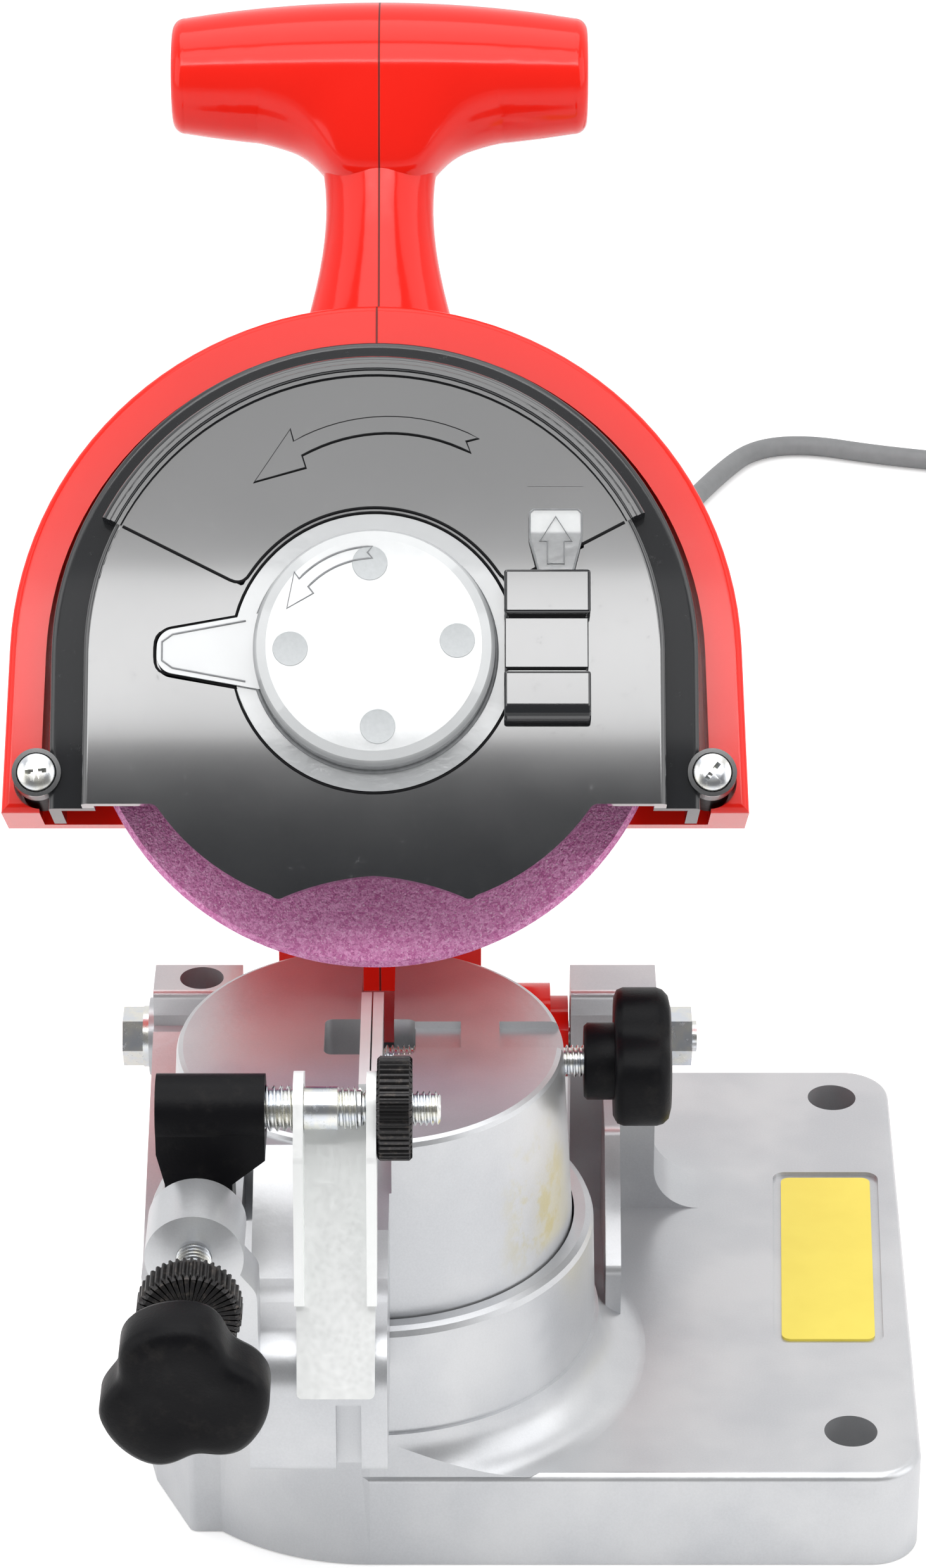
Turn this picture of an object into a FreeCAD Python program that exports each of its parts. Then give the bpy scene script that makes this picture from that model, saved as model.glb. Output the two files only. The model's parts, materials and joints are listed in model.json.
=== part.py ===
import FreeCAD, Part
import math
import os
from FreeCAD import Vector, Placement, Rotation

# Bench sharpener for saw chains. X runs to the right, Y to the back, Z up, in millimetres.
# It is drawn about the upright swivel axis of the vise, on the bench, and saved about the middle of
# the footprint without the cord.
# The grinding head is drawn in its own frame: x right, y up the head, z forward along the wheel axis.

# Shared clearances
fit_gap = 0.05
slide_gap = 0.3
face_gap = 0.1
overrun = 2.0
full_turn = 360.0

# Middle of the footprint, from the swivel axis
footprint_x = 18.53
footprint_y = 12.28

# Base casting
plate_height = 19.6
plate_front = -42.5
plate_back = 100.2
plate_left = -43.0
plate_right_front = 100.7
plate_right_back = 104.5
plate_corner = 9.0
plate_roof = 4.2
plate_wall = 4.0
plate_edge_round = 1.6
foot_radius = 42.5
rim_radius = 41.3
rim_height = 50.4
socket_radius = 37.7
socket_floor = 24.3
socket_floor_thick = 5.0
recess_radius = 36.5
flare_radius = 9.0
bulge_side_y = -16.3
bulge_side_x = -40.5
bulge_front_y = -32.3
bulge_front_x = -33.2
bulge_end_x = -27.6
bulge_start_y = -5.0
side_wall_low = 38.0
side_wall_high = 60.0
side_wall_inner = -30.0
mount_hole_radius = 4.9
mount_boss_radius = 9.5
mount_hole_places = ((92.5, 89.2), (88.4, -28.3))
under_rib_thick = 3.0
under_rib_y = 30.0
under_rib_depth = 9.0
label_depth = 0.8
label_thick = 0.5
label_recess_front_y = 0.5
label_recess_back_y = 60.7
label_recess_left_front = 75.7
label_recess_left_back = 78.9
label_recess_width = 20.9
label_recess_corner = 2.5
label_margin = 1.6
label_corner = 2.0

# Hinge between base and head
hinge_y = 57.0
hinge_z = 53.4
bolt_radius = 3.0
bolt_head_flats = 10.0
bolt_head_thick = 4.0
bolt_nut_thick = 4.8
bolt_tail = 1.0
washer_radius = 6.0
washer_thick = 1.2
left_lug_outer = -43.0
left_lug_inner = -26.0
right_lug_inner = 37.9
right_lug_outer = 54.5
lug_boss_thick = 1.2
lug_boss_radius = 7.6
lug_barrel_radius = 8.5
lug_top = 67.0
lug_top_front = 50.5
lug_top_back = 62.2
lug_foot_front = 47.5
lug_foot_back = 72.0
lug_edge_round = 1.5
lug_hole_radius = 4.25
lug_hole_x = -33.8
lug_hole_y = 56.2
lug_hole_floor = 58.5
gusset_radius = 9.0
rib_left = 44.1
rib_thick = 2.9
rib_front = 9.0
rib_step_y = 28.0
rib_front_height = 30.0
rib_top = 50.0

# Depth stop behind the hinge
stop_post_left = 2.0
stop_post_width = 16.0
stop_post_front = 70.0
stop_post_thick = 8.0
stop_post_height = 42.0
stop_screw_radius = 3.0
stop_screw_z = 33.5
stop_screw_tip = 66.4
stop_screw_end = 92.0
stop_knob_radius = 8.0
stop_knob_thick = 7.0
finger_back = 61.0
finger_front = 53.0
finger_width = 10.0
finger_low = 29.0

# Turret of the vise
turret_low_radius = 37.3
turret_top_radius = 35.4
turret_top = 86.0
turret_edge_round = 1.2
spigot_radius = 9.0
stud_radius = 4.0
stud_top = 40.0
stud_bottom = 2.5
lock_washer_radius = 14.0
lock_washer_thick = 1.6
lock_knob_radius = 25.0
lock_knob_thick = 10.0
lock_knob_hub_radius = 11.0
lock_knob_hub_thick = 5.0
jaw_length = 32.8
jaw_thick = 1.9
jaw_left = -1.8
jaw_bottom = 46.0
jaw_proud = 1.0
jaw_gap = 0.3
jaw_travel = 1.8
slot_depth = 10.0
slot_right = 4.3
pocket_left = -8.4
pocket_right = 8.3
pocket_front = -4.4
pocket_back = 8.2
pocket_depth = 12.0
pocket_corner = 1.5
channel_y = 2.75
channel_width = 9.3
channel_depth = 1.5
channel_first_right = 16.6
channel_second_left = 23.7

# Nose of the turret, over the collar rim and down in front of it
nose_left = -20.0
nose_right = 3.9
nose_front = -73.3
nose_round = 12.8
nose_round_z = 56.7
nose_bottom = 42.6
nose_ramp_y = -34.0
nose_ramp_z = 85.0
nose_inner_radius = 43.1
nose_bridge_bottom = 51.2
nose_groove_left = -5.0
nose_groove_width = 4.4
nose_groove_depth = 3.0
nose_edge_round = 1.5

# Chain stop boss, holder, rod and adjuster
boss_x = -28.4
boss_z = 90.0
boss_radius = 8.4
boss_front = -78.0
boss_length = 12.0
web_left = -34.5
web_low = 52.0
shelf_left = -35.0
shelf_right = -22.0
shelf_low = 66.0
shelf_top = 77.5
shelf_back = -24.0
adjuster_radius = 3.0
adjuster_pitch = 1.0
adjuster_end = -45.0
adjuster_nut_front = -96.0
adjuster_nut_thick = 5.5
adjuster_nut_radius = 8.8
adjuster_knob_back = -110.5
adjuster_knob_thick = 10.5
adjuster_knob_radius = 14.2
adjuster_knob_hub_radius = 7.0
adjuster_knob_hub_length = 4.0
holder_y = -54.0
holder_left = -35.6
holder_right = -16.9
holder_radius = 6.0
holder_depth = 11.0
holder_foot_width = 11.6
rod_z = 105.0
rod_radius = 4.0
rod_inner_end = -30.0
rod_step_x = -3.4
rod_thin_radius = 3.0
rod_end = 13.2
rod_tip_cone = 1.0
thumb_left = 2.3
thumb_thick = 6.0
thumb_radius = 9.0

# Chain stop flap
flap_left = -12.0
flap_width = 14.2
flap_wall = 1.7
flap_web_offset = 6.0
flap_web_thick = 1.5
flap_length = 50.0
flap_wall_length = 34.0
flap_ear_radius = 6.4
flap_lean = 31.0
flap_tongue_taper = 0.4
flap_tip_corner = 1.0

# Clamp screw and knob
clamp_screw_radius = 3.0
clamp_screw_z = 80.3
clamp_hub_reach = 3.8
clamp_hub_length = 5.5
clamp_hub_left = turret_top_radius + clamp_hub_reach
clamp_hub_radius = 7.1
clamp_star_left = clamp_hub_left + clamp_hub_length
clamp_star_thick = 10.4
clamp_star_radius = 13.6

# Star knobs
star_lobes = 5
star_scallop_share = 0.42
star_scallop_place_share = 1.22
star_round_share = 0.22

# Head frame
head_x = 1.0
head_y = 40.7
head_z = 139.9
head_turn = 51.35

# Grinding wheel and spindle
wheel_radius = 54.0
wheel_bore = 11.5
wheel_thick = 3.2
wheel_edge_bevel = 0.9
flange_radius = 17.0
flange_thick = 4.0
flange_relief = 0.8
nut_flats = 13.0
nut_thick = 6.4
shaft_radius = 4.0
shaft_rear_radius = 3.5
shaft_front = 14.0

# Wheel guard round the wheel
guard_wheel_room = 2.6
guard_wall = 2.2
guard_radius = wheel_radius + guard_wheel_room + guard_wall
guard_spread = 0.1
guard_half_width = guard_radius + guard_spread
guard_rise = 0.6
guard_shoulder = 6.2
guard_face_radius = guard_radius - guard_shoulder
guard_face_half_width = guard_half_width - guard_shoulder
guard_front = 18.5
guard_face_front = 23.2
guard_skirt_back = 3.5
guard_edge_round = 1.2
guard_window_radius = 19.0
guard_ear_radius = 4.45
guard_ear_reach = 2.1
guard_ear_x = guard_half_width + guard_ear_reach
guard_ear_y = -21.4
guard_ear_front = 19.6
guard_ear_thick = 4.1
guard_screw_radius = 2.0
guard_screw_head_radius = 3.6
guard_screw_head_thick = 2.2
guard_screw_end = -2.0
sleeve_outer_radius = 3.9
sleeve_back = 2.1
ear_notch_radius = 4.9
fan_pad_reach = 3.0
fan_step_depth = 0.9
fan_step_inner = 26.8
fan_step_inset = 0.7
fan_step_outer = guard_face_radius - fan_step_inset
fan_step_right_angle = 28.0
fan_step_left_angle = 153.0
ridge_inset = 0.4
ridge_width = 1.4
ridge_rise = 0.6
ridge_round = 0.4
tab_pocket_depth = 1.0

# Housing of the head
hood_gap = 1.6
hood_wall = 6.8
hood_side_gap = 2.3
hood_side_wall = 7.0
hood_rise = 1.7
hood_inner_rise = 1.0
hood_inner_radius = guard_radius + hood_gap
hood_inner_half_width = guard_half_width + hood_side_gap
hood_radius = hood_inner_radius + hood_wall
hood_half_width = hood_inner_half_width + hood_side_wall
hood_bottom = -26.9
hood_front = 10.0
hood_floor = -3.0
hood_floor_thick = 4.0
hood_edge_round = 1.5
floor_hole_radius = 18.5
shell_wall = 2.6
barrel_radius = 33.0
barrel_taper = 2.0
barrel_rear_radius = barrel_radius - barrel_taper
barrel_rear = -97.0
barrel_rear_round = 7.0
bearing_radius = 11.0
bearing_thick = 7.0
bearing_front = -9.0
bearing_seat_wall = 3.2
rear_bearing_radius = 9.5
rear_bearing_thick = 6.0
rear_bearing_front = -87.0
hub_left = -25.5
hub_right = 37.5
hub_radius = 10.5
hub_step_x = 34.0
hub_step_radius = 8.0
leg_half_width = 19.5
sleeve_radius = 4.5
spring_room_radius = 7.8
spring_room_end = 2.0
spring_wire = 0.8
spring_radius = 6.1
spring_left = -22.5
spring_length = 20.0
bar_half_length = 40.0
bar_radius = 14.1
bar_end_radius = 11.1
bar_end_round = 2.5
bar_y = 122.8
bar_z = -18.0
neck_top_half_width = 10.4
neck_low_half_width = 17.2
neck_depth = 9.0
neck_low_depth = 12.5
neck_bend_z = -23.4
neck_foot_y = 26.0
neck_foot_z = -34.0
neck_upper_shares = ((0.0, 2.2, 0.0), (0.9, 1.22, 0.0), (1.7, 1.0, 0.1))
neck_bend_share = 2.7
neck_foot_shares = (1.05, 1.3)
leg_root_share = 0.7
leg_front_share = 0.55
leg_back_share = 1.3
barrel_screw_shares = (1.28, 0.45, 0.6)
neck_screw_y = 70.0
neck_screw_share = 0.7
leg_screw_shares = (0.66, 0.93, 0.75)
housing_screw_radius = 1.9
housing_screw_head = 3.6
housing_boss_radius = 4.6
vent_count = 7
vent_width = 2.2
vent_length = 13.0
vent_pitch = 4.6
vent_front = -58.0

# Clear cover over the wheel nut and its latch
cover_radius = 21.8
cover_front = 29.5
cover_flange_radius = 25.6
cover_flange_thick = 1.0
cover_wall = 1.8
cover_edge_round = 2.4
cover_tab_tip = -39.2
cover_tab_tip_radius = 3.6
cover_tab_root_half = 7.6
cover_tab_thick = 1.8
cover_tab_root_share = 0.8
cover_tab_round_share = 0.9
latch_left = 23.4
latch_right = 39.0
latch_low = -13.4
latch_high = 14.4
latch_step_front = 27.6
latch_middle_front = 26.4
latch_low_front = 27.0
latch_upper_step = 5.9
latch_lower_step = -4.0
latch_round = 1.0
latch_travel = 4.0
latch_tab_left = 28.0
latch_tab_right = 37.6
latch_tab_high = 26.4
latch_tab_thick = 1.6
latch_tab_neck_y = 21.0
latch_tab_neck_inset = 1.7

# Motor inside the barrel
stator_radius = barrel_rear_radius - shell_wall
stator_flat_depth = 6.4
stator_flat = stator_radius - stator_flat_depth
fan_gap = 3.4
fan_radius = stator_radius - fan_gap
bearing_groove_shares = (0.84, 0.62)
fan_back = -30.0
fan_plate = 1.6
fan_blade_height = 6.0
fan_blade_thick = 1.4
fan_blades = 9
fan_hub_radius = 8.0
stator_front = -36.0
stator_back = -72.0
stator_bore = 17.0
coil_wide = 9.0
coil_tall = 5.0
armature_gap = 0.8
armature_radius = stator_bore - armature_gap
armature_slots = 12
armature_slot_width = 2.4
armature_slot_depth = 5.0
winding_radius = 13.5
winding_thick = 5.0
commutator_radius = 10.0
commutator_front = -78.5
commutator_back = -86.0
brush_side = 5.0
brush_gap = 0.2
brush_holder_side = 8.4
brush_holder_inner = 12.0
brush_z = -82.3

# Switch and cord inlet
switch_width = 13.0
switch_length = 15.6
switch_depth = 12.0
switch_z = -72.9
switch_lip = 1.4
rocker_width = 9.0
rocker_length = 11.0
rocker_rise = 2.6
rocker_tilt = 8.0
rocker_pin_radius = 0.9
rocker_pin_reach = 1.2
rocker_foot_share = 0.92
rocker_top_share = 0.86
gland_y = -17.5
gland_radius = 5.6
gland_tip_radius = 3.9
gland_length = 26.0
gland_neck = 4.6
gland_neck_length = 3.4
gland_collar = 6.4

# Mains cord
cord_radius = 2.6
cord_gap = 0.6
cord_out_length = 17.0
bend_reach_share = 0.45
straight_limit = 1e-9
plug_section_share = 0.55
plug_neck_shares = (0.35, 1.5, 1.3)
plug_back_share = 0.93
coil_inner_radius = 27.0
coil_turns_in = 3.0
coil_turns_out = 2.5
coil_tail = 54.0
coil_climb_step = 1.8
plug_length = 38.0
plug_width = 35.0
plug_thick = 14.6
plug_neck_radius = 4.6
plug_front_length = 16.0
pin_radius = 2.0
pin_length = 19.0
pin_spacing = 19.0

X_AXIS = Vector(1, 0, 0)
Y_AXIS = Vector(0, 1, 0)
Z_AXIS = Vector(0, 0, 1)

head_frame = Placement(Vector(head_x, head_y, head_z), Rotation(X_AXIS, head_turn))
tilt = math.radians(head_turn)
hinge_dy = hinge_y - head_y
hinge_dz = hinge_z - head_z
hinge_local_y = hinge_dy * math.cos(tilt) + hinge_dz * math.sin(tilt)
hinge_local_z = hinge_dz * math.cos(tilt) - hinge_dy * math.sin(tilt)


def to_head(shape):
    """A shape drawn in the head frame, set in the frame of the whole part."""
    moved = shape.copy()
    moved.Placement = head_frame.multiply(moved.Placement)
    return moved


def join(first, *others):
    return first.fuse(list(others)).removeSplitter()


def column(x, y, radius, low, high):
    return Part.makeCylinder(radius, high - low, Vector(x, y, low), Z_AXIS)


def rod_x(y, z, radius, left, right):
    return Part.makeCylinder(radius, right - left, Vector(left, y, z), X_AXIS)


def rod_y(x, z, radius, front, back):
    return Part.makeCylinder(radius, back - front, Vector(x, front, z), Y_AXIS)


def block(left, right, front, back, low, high):
    return Part.makeBox(right - left, back - front, high - low, Vector(left, front, low))


def tube(outer, inner, low, high, x=0, y=0):
    return column(x, y, outer, low, high).cut(column(x, y, inner, low - overrun, high + overrun))


def rounded_wire(corners):
    """Closed wire in X and Y through corners (x, y, radius), each turned by a tangent arc."""
    ends = []
    count = len(corners)
    for index in range(count):
        x, y, radius = corners[index]
        here = Vector(x, y, 0)
        before = Vector(corners[index - 1][0], corners[index - 1][1], 0)
        after = Vector(corners[(index + 1) % count][0], corners[(index + 1) % count][1], 0)
        back = (before - here).normalize()
        on = (after - here).normalize()
        if radius <= 0:
            ends.append((here, None, here))
            continue
        half = back.getAngle(on) / 2
        reach = radius / math.tan(half)
        inward = (back + on).normalize()
        middle = here + inward * (radius / math.sin(half) - radius)
        ends.append((here + back * reach, middle, here + on * reach))
    edges = []
    for index in range(count):
        start, middle, end = ends[index]
        if middle is not None:
            edges.append(Part.Arc(start, middle, end).toShape())
        following = ends[(index + 1) % count][0]
        if end.distanceToPoint(following) > fit_gap:
            edges.append(Part.LineSegment(end, following).toShape())
    return Part.Wire(edges)


def plan_solid(corners, low, high):
    """Outline in X and Y, from height low to height high."""
    body = Part.Face(rounded_wire(corners)).extrude(Vector(0, 0, high - low))
    body.translate(Vector(0, 0, low))
    return body


def side_solid(corners, left, right):
    """Outline in Y and Z, from left to right."""
    body = Part.Face(rounded_wire(corners)).extrude(Vector(0, 0, right - left))
    body.Placement = Placement(Vector(left, 0, 0), Rotation(Vector(1, 1, 1), full_turn / 3))
    return body


def front_solid(corners, front, back):
    """Outline in X and Z, from front to back along Y."""
    body = Part.Face(rounded_wire(corners)).extrude(Vector(0, 0, front - back))
    body.Placement = Placement(Vector(0, front, 0), Rotation(X_AXIS, full_turn / 4))
    return body


def spin(points, centre=Vector(0, 0, 0), axis=Z_AXIS):
    """Solid of revolution of (radius, place along the axis) points about the axis."""
    ring = [Vector(r, 0, z) for r, z in points]
    body = Part.Face(Part.makePolygon(ring + ring[:1])).revolve(Vector(0, 0, 0), Z_AXIS, full_turn)
    body.Placement = Placement(centre, Rotation(Z_AXIS, axis))
    return body


def round_profile(radius, low, high, edge, low_edge=0):
    """Half section of a disc whose edges are turned by short chords."""
    points = [(0, low)]
    if low_edge > 0:
        points += [(radius - low_edge, low), (radius - low_edge * edge_knee_share, low + low_edge * edge_knee_share)]
        points += [(radius, low + low_edge)]
    else:
        points += [(radius, low)]
    points += [(radius, high - edge), (radius - edge * edge_knee_share, high - edge * edge_knee_share)]
    points += [(radius - edge, high), (0, high)]
    return points


edge_knee_share = 0.29289


def hex_solid(flats, low, high):
    across = flats / math.cos(math.pi / 6)
    points = [(across / 2 * math.cos(i * math.pi / 3), across / 2 * math.sin(i * math.pi / 3), 0) for i in range(6)]
    return plan_solid(points, low, high)


def star(radius, thick):
    """Star grip from z = 0 to its thickness, with scallops between the lobes and a crowned rim."""
    edge = thick * star_round_share
    body = spin(round_profile(radius, 0, thick, edge, edge))
    for index in range(star_lobes):
        angle = 2 * math.pi * index / star_lobes
        place = radius * star_scallop_place_share
        cutter = column(place * math.cos(angle), place * math.sin(angle), radius * star_scallop_share,
                        -overrun, thick + overrun)
        body = body.cut(cutter)
    return body


def along(shape, place, axis, turn=0):
    """Shape drawn about Z, turned so that Z lies along the axis, at the place."""
    moved = shape.copy()
    moved.Placement = Placement(place, Rotation(Z_AXIS, axis).multiply(Rotation(Z_AXIS, turn)))
    return moved


# Base

def plate_corners(inset=0):
    slope = (plate_right_back - plate_right_front) / (plate_back - plate_front)
    radius = plate_corner - inset
    return [
        (plate_left + inset, plate_back - inset, radius),
        (plate_right_back - inset - slope * inset, plate_back - inset, radius),
        (plate_right_front - inset + slope * inset, plate_front + inset, radius),
        (0, plate_front + inset, 0),
    ]


def plate_solid(low, high, inset=0):
    corners = plate_corners(inset) + [
        (bulge_end_x, bulge_front_y, 0),
        (bulge_front_x, bulge_front_y, plate_edge_round),
        (bulge_side_x, bulge_side_y, plate_edge_round),
        (plate_left + inset, bulge_start_y, 0),
    ]
    return plan_solid(corners, low, high)


def lug(left, right):
    """Hinge lug: a tapered post with a flat top and a round barrel about the bolt."""
    post = side_solid([
        (lug_foot_front, plate_height - plate_roof, 0),
        (lug_foot_back, plate_height - plate_roof, 0),
        (lug_top_back, lug_top, lug_edge_round),
        (lug_top_front, lug_top, lug_edge_round),
        (lug_top_front, hinge_z + lug_barrel_radius, 0),
        (lug_foot_front, hinge_z, 0),
    ], left, right)
    return post.fuse(rod_x(hinge_y, hinge_z, lug_barrel_radius, left, right))


def collar_flare():
    """Concave sweep between the collar and the top of the plate, kept on the plate."""
    foot = plate_height - face_gap
    start = Vector(foot_radius - overrun, 0, foot)
    low = Vector(foot_radius + flare_radius, 0, foot)
    high = Vector(foot_radius - overrun, 0, plate_height + flare_radius)
    turn = Vector(foot_radius, 0, plate_height + flare_radius)
    low_top = Vector(foot_radius + flare_radius, 0, plate_height)
    bulge = flare_radius * math.sqrt(0.5)
    middle = Vector(foot_radius + flare_radius - bulge, 0, plate_height + flare_radius - bulge)
    edges = [
        Part.LineSegment(start, low).toShape(),
        Part.LineSegment(low, low_top).toShape(),
        Part.Arc(low_top, middle, turn).toShape(),
        Part.LineSegment(turn, high).toShape(),
        Part.LineSegment(high, start).toShape(),
    ]
    ring = Part.Face(Part.Wire(edges)).revolve(Vector(0, 0, 0), Z_AXIS, full_turn)
    return ring.common(plate_solid(0, rim_height))


def concave_gusset(root, foot, radius, front, back):
    """Quarter round web from a wall at X = root down to the plate, run along Y."""
    bulge = radius * (1 - math.sqrt(0.5))
    corner = Vector(root - overrun, front, foot - overrun)
    low = Vector(root + radius, front, foot - overrun)
    low_top = Vector(root + radius, front, foot)
    middle = Vector(root + bulge, front, foot + bulge)
    turn = Vector(root, front, foot + radius)
    high = Vector(root - overrun, front, foot + radius)
    edges = [
        Part.LineSegment(corner, low).toShape(),
        Part.LineSegment(low, low_top).toShape(),
        Part.Arc(low_top, middle, turn).toShape(),
        Part.LineSegment(turn, high).toShape(),
        Part.LineSegment(high, corner).toShape(),
    ]
    return Part.Face(Part.Wire(edges)).extrude(Vector(0, back - front, 0))


def label_corners(margin):
    slope = (label_recess_left_back - label_recess_left_front) / (label_recess_back_y - label_recess_front_y)
    low_left = label_recess_left_front + margin + slope * margin
    high_left = label_recess_left_back + margin - slope * margin
    wide = label_recess_width - 2 * margin
    radius = label_recess_corner - margin / 2
    return [
        (low_left, label_recess_front_y + margin, radius),
        (low_left + wide, label_recess_front_y + margin, radius),
        (high_left + wide, label_recess_back_y - margin, radius),
        (high_left, label_recess_back_y - margin, radius),
    ]


def under_cavity():
    """Hollow under the plate: beside the collar and behind it."""
    roof = plate_height - plate_roof
    slope = (plate_right_back - plate_right_front) / (plate_back - plate_front)
    side = foot_radius + plate_wall
    corners = [
        (plate_left + plate_wall, plate_back - plate_wall, plate_wall),
        (plate_right_back - plate_wall, plate_back - plate_wall, plate_wall),
        (plate_right_front - plate_wall + slope * plate_wall, plate_front + plate_wall, plate_wall),
        (side, plate_front + plate_wall, plate_wall),
        (side, side, 0),
        (plate_left + plate_wall, side, plate_wall),
    ]
    room = plan_solid(corners, -overrun, roof)
    for x, y in mount_hole_places:
        room = room.cut(column(x, y, mount_boss_radius, -2 * overrun, plate_height))
    ribs = block(side - overrun, plate_right_back, under_rib_y, under_rib_y + under_rib_thick,
                 roof - under_rib_depth, plate_height)
    return room.cut(ribs)


def base_casting():
    foot = plate_solid(0, plate_height - plate_edge_round)
    cap = plate_solid(plate_height - plate_edge_round, plate_height)
    body = foot.fuse(cap).removeSplitter()
    top_edges = [e for e in body.Edges if abs(e.BoundBox.ZMin - plate_height) < fit_gap
                 and abs(e.BoundBox.ZMax - plate_height) < fit_gap and e.BoundBox.XMax > 0]
    body = body.makeFillet(plate_edge_round, top_edges)
    collar = spin([(0, 0), (foot_radius, 0), (rim_radius, rim_height - lug_edge_round),
                   (rim_radius - lug_edge_round * edge_knee_share, rim_height - lug_edge_round * edge_knee_share),
                   (rim_radius - lug_edge_round, rim_height), (0, rim_height)])
    wall = side_solid([
        (plate_front, 0, 0), (hinge_y, 0, 0), (hinge_y, side_wall_high, 0),
        (lug_foot_front, side_wall_high, 0), (0, side_wall_low, 0), (plate_front, side_wall_low, 0),
    ], plate_left, side_wall_inner)
    wall = wall.common(plate_solid(0, lug_top))
    right_rib = side_solid([
        (rib_front, 0, 0), (lug_foot_back, 0, 0), (hinge_y, rib_top, 0),
        (rib_step_y, rib_top, rib_thick), (rib_front, rib_front_height, rib_thick),
    ], rib_left, rib_left + rib_thick)
    post = block(stop_post_left, stop_post_left + stop_post_width, stop_post_front,
                 stop_post_front + stop_post_thick, plate_height - plate_roof, stop_post_height)
    body = join(body, collar, wall, right_rib, collar_flare(), post,
                lug(left_lug_outer, left_lug_inner), lug(right_lug_inner, right_lug_outer),
                rod_x(hinge_y, hinge_z, lug_boss_radius, left_lug_outer - lug_boss_thick, left_lug_outer),
                rod_x(hinge_y, hinge_z, lug_boss_radius, right_lug_outer, right_lug_outer + lug_boss_thick),
                concave_gusset(right_lug_outer, plate_height, gusset_radius, lug_foot_front, lug_top_back))
    body = body.cut(under_cavity())
    body = body.cut(column(0, 0, socket_radius, socket_floor, rim_height + overrun))
    body = body.cut(column(0, 0, recess_radius, -overrun, socket_floor - socket_floor_thick))
    body = body.cut(column(0, 0, spigot_radius + fit_gap, 0, socket_floor + overrun))
    for x, y in mount_hole_places:
        body = body.cut(column(x, y, mount_hole_radius, -overrun, plate_height + overrun))
    body = body.cut(rod_x(hinge_y, hinge_z, bolt_radius + fit_gap, plate_left - lug_boss_thick - overrun,
                          right_lug_outer + lug_boss_thick + overrun))
    body = body.cut(column(lug_hole_x, lug_hole_y, lug_hole_radius, lug_hole_floor, lug_top + overrun))
    body = body.cut(rod_y(stop_post_left + stop_post_width / 2, stop_screw_z, stop_screw_radius + fit_gap,
                          stop_post_front - overrun, stop_post_front + stop_post_thick + overrun))
    body = body.cut(plan_solid(label_corners(0), plate_height - label_depth, plate_height + overrun))
    spring_hole = rod_x(hinge_y, hinge_z - spring_radius, spring_wire + fit_gap,
                        left_lug_inner - 2 * overrun, left_lug_inner + overrun)
    return body.cut(spring_hole)


def hinge_bolt():
    head_right = left_lug_outer - lug_boss_thick - washer_thick
    head = along(hex_solid(bolt_head_flats, 0, bolt_head_thick),
                 Vector(head_right - bolt_head_thick, hinge_y, hinge_z), X_AXIS, full_turn / 4)
    end = right_lug_outer + lug_boss_thick + washer_thick + bolt_nut_thick + bolt_tail
    return head.fuse(rod_x(hinge_y, hinge_z, bolt_radius, head_right, end)).removeSplitter()


def hinge_washer(left):
    ring = rod_x(hinge_y, hinge_z, washer_radius, left, left + washer_thick)
    return ring.cut(rod_x(hinge_y, hinge_z, bolt_radius + fit_gap, left - overrun, left + overrun + washer_thick))


def hinge_nut():
    left = right_lug_outer + lug_boss_thick + washer_thick
    nut = along(hex_solid(bolt_head_flats, 0, bolt_nut_thick), Vector(left, hinge_y, hinge_z), X_AXIS, full_turn / 4)
    return nut.cut(rod_x(hinge_y, hinge_z, bolt_radius + fit_gap, left - overrun, left + bolt_nut_thick + overrun))


def return_spring():
    """Close-wound torsion spring round the hinge sleeve, as one drum, with a leg run into the left lug."""
    right = spring_left + spring_length
    drum = rod_x(hinge_y, hinge_z, spring_radius + spring_wire, spring_left, right)
    drum = drum.cut(rod_x(hinge_y, hinge_z, spring_radius - spring_wire, spring_left - overrun, right + overrun))
    leg = rod_x(hinge_y, hinge_z - spring_radius, spring_wire - fit_gap, left_lug_inner - overrun,
                spring_left + spring_wire)
    return drum.fuse(leg).removeSplitter()


def lock_washer():
    top = socket_floor - socket_floor_thick
    return tube(lock_washer_radius, stud_radius + fit_gap, top - lock_washer_thick, top)


def label_plate():
    low = plate_height - label_depth
    return plan_solid(label_corners(label_margin), low, low + label_thick)


def depth_stop_screw():
    x = stop_post_left + stop_post_width / 2
    stem = rod_y(x, stop_screw_z, stop_screw_radius, stop_screw_tip, stop_screw_end)
    knob = spin(round_profile(stop_knob_radius, 0, stop_knob_thick, fit_gap * 10, fit_gap * 10))
    knob = along(knob, Vector(x, stop_screw_end - stop_knob_thick, stop_screw_z), Y_AXIS)
    return stem.fuse(knob).removeSplitter()


# Turret

def nose():
    """Casting nose over the rim: ramp, rounded shoulder, upright front, and a hollow for the collar."""
    shoulder_top = nose_round_z + nose_round
    corners = [
        (nose_ramp_y + turret_top_radius / 2, nose_ramp_z, 0),
        (nose_ramp_y, nose_ramp_z, turret_edge_round),
        (nose_front + nose_round * 1.25, shoulder_top, nose_round),
        (nose_front, shoulder_top - nose_round * 0.25, nose_round * 0.8),
        (nose_front, nose_bottom, nose_edge_round),
        (-nose_inner_radius, nose_bottom, 0),
        (-turret_low_radius / 2, nose_bottom, 0),
    ]
    body = side_solid(corners, nose_left, nose_right)
    body = body.cut(column(0, 0, nose_inner_radius, 0, nose_bridge_bottom))
    groove = block(nose_groove_left, nose_groove_left + nose_groove_width, nose_front - overrun,
                   nose_front + nose_groove_depth, nose_bottom - overrun, nose_round_z)
    return body.cut(groove)


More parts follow.
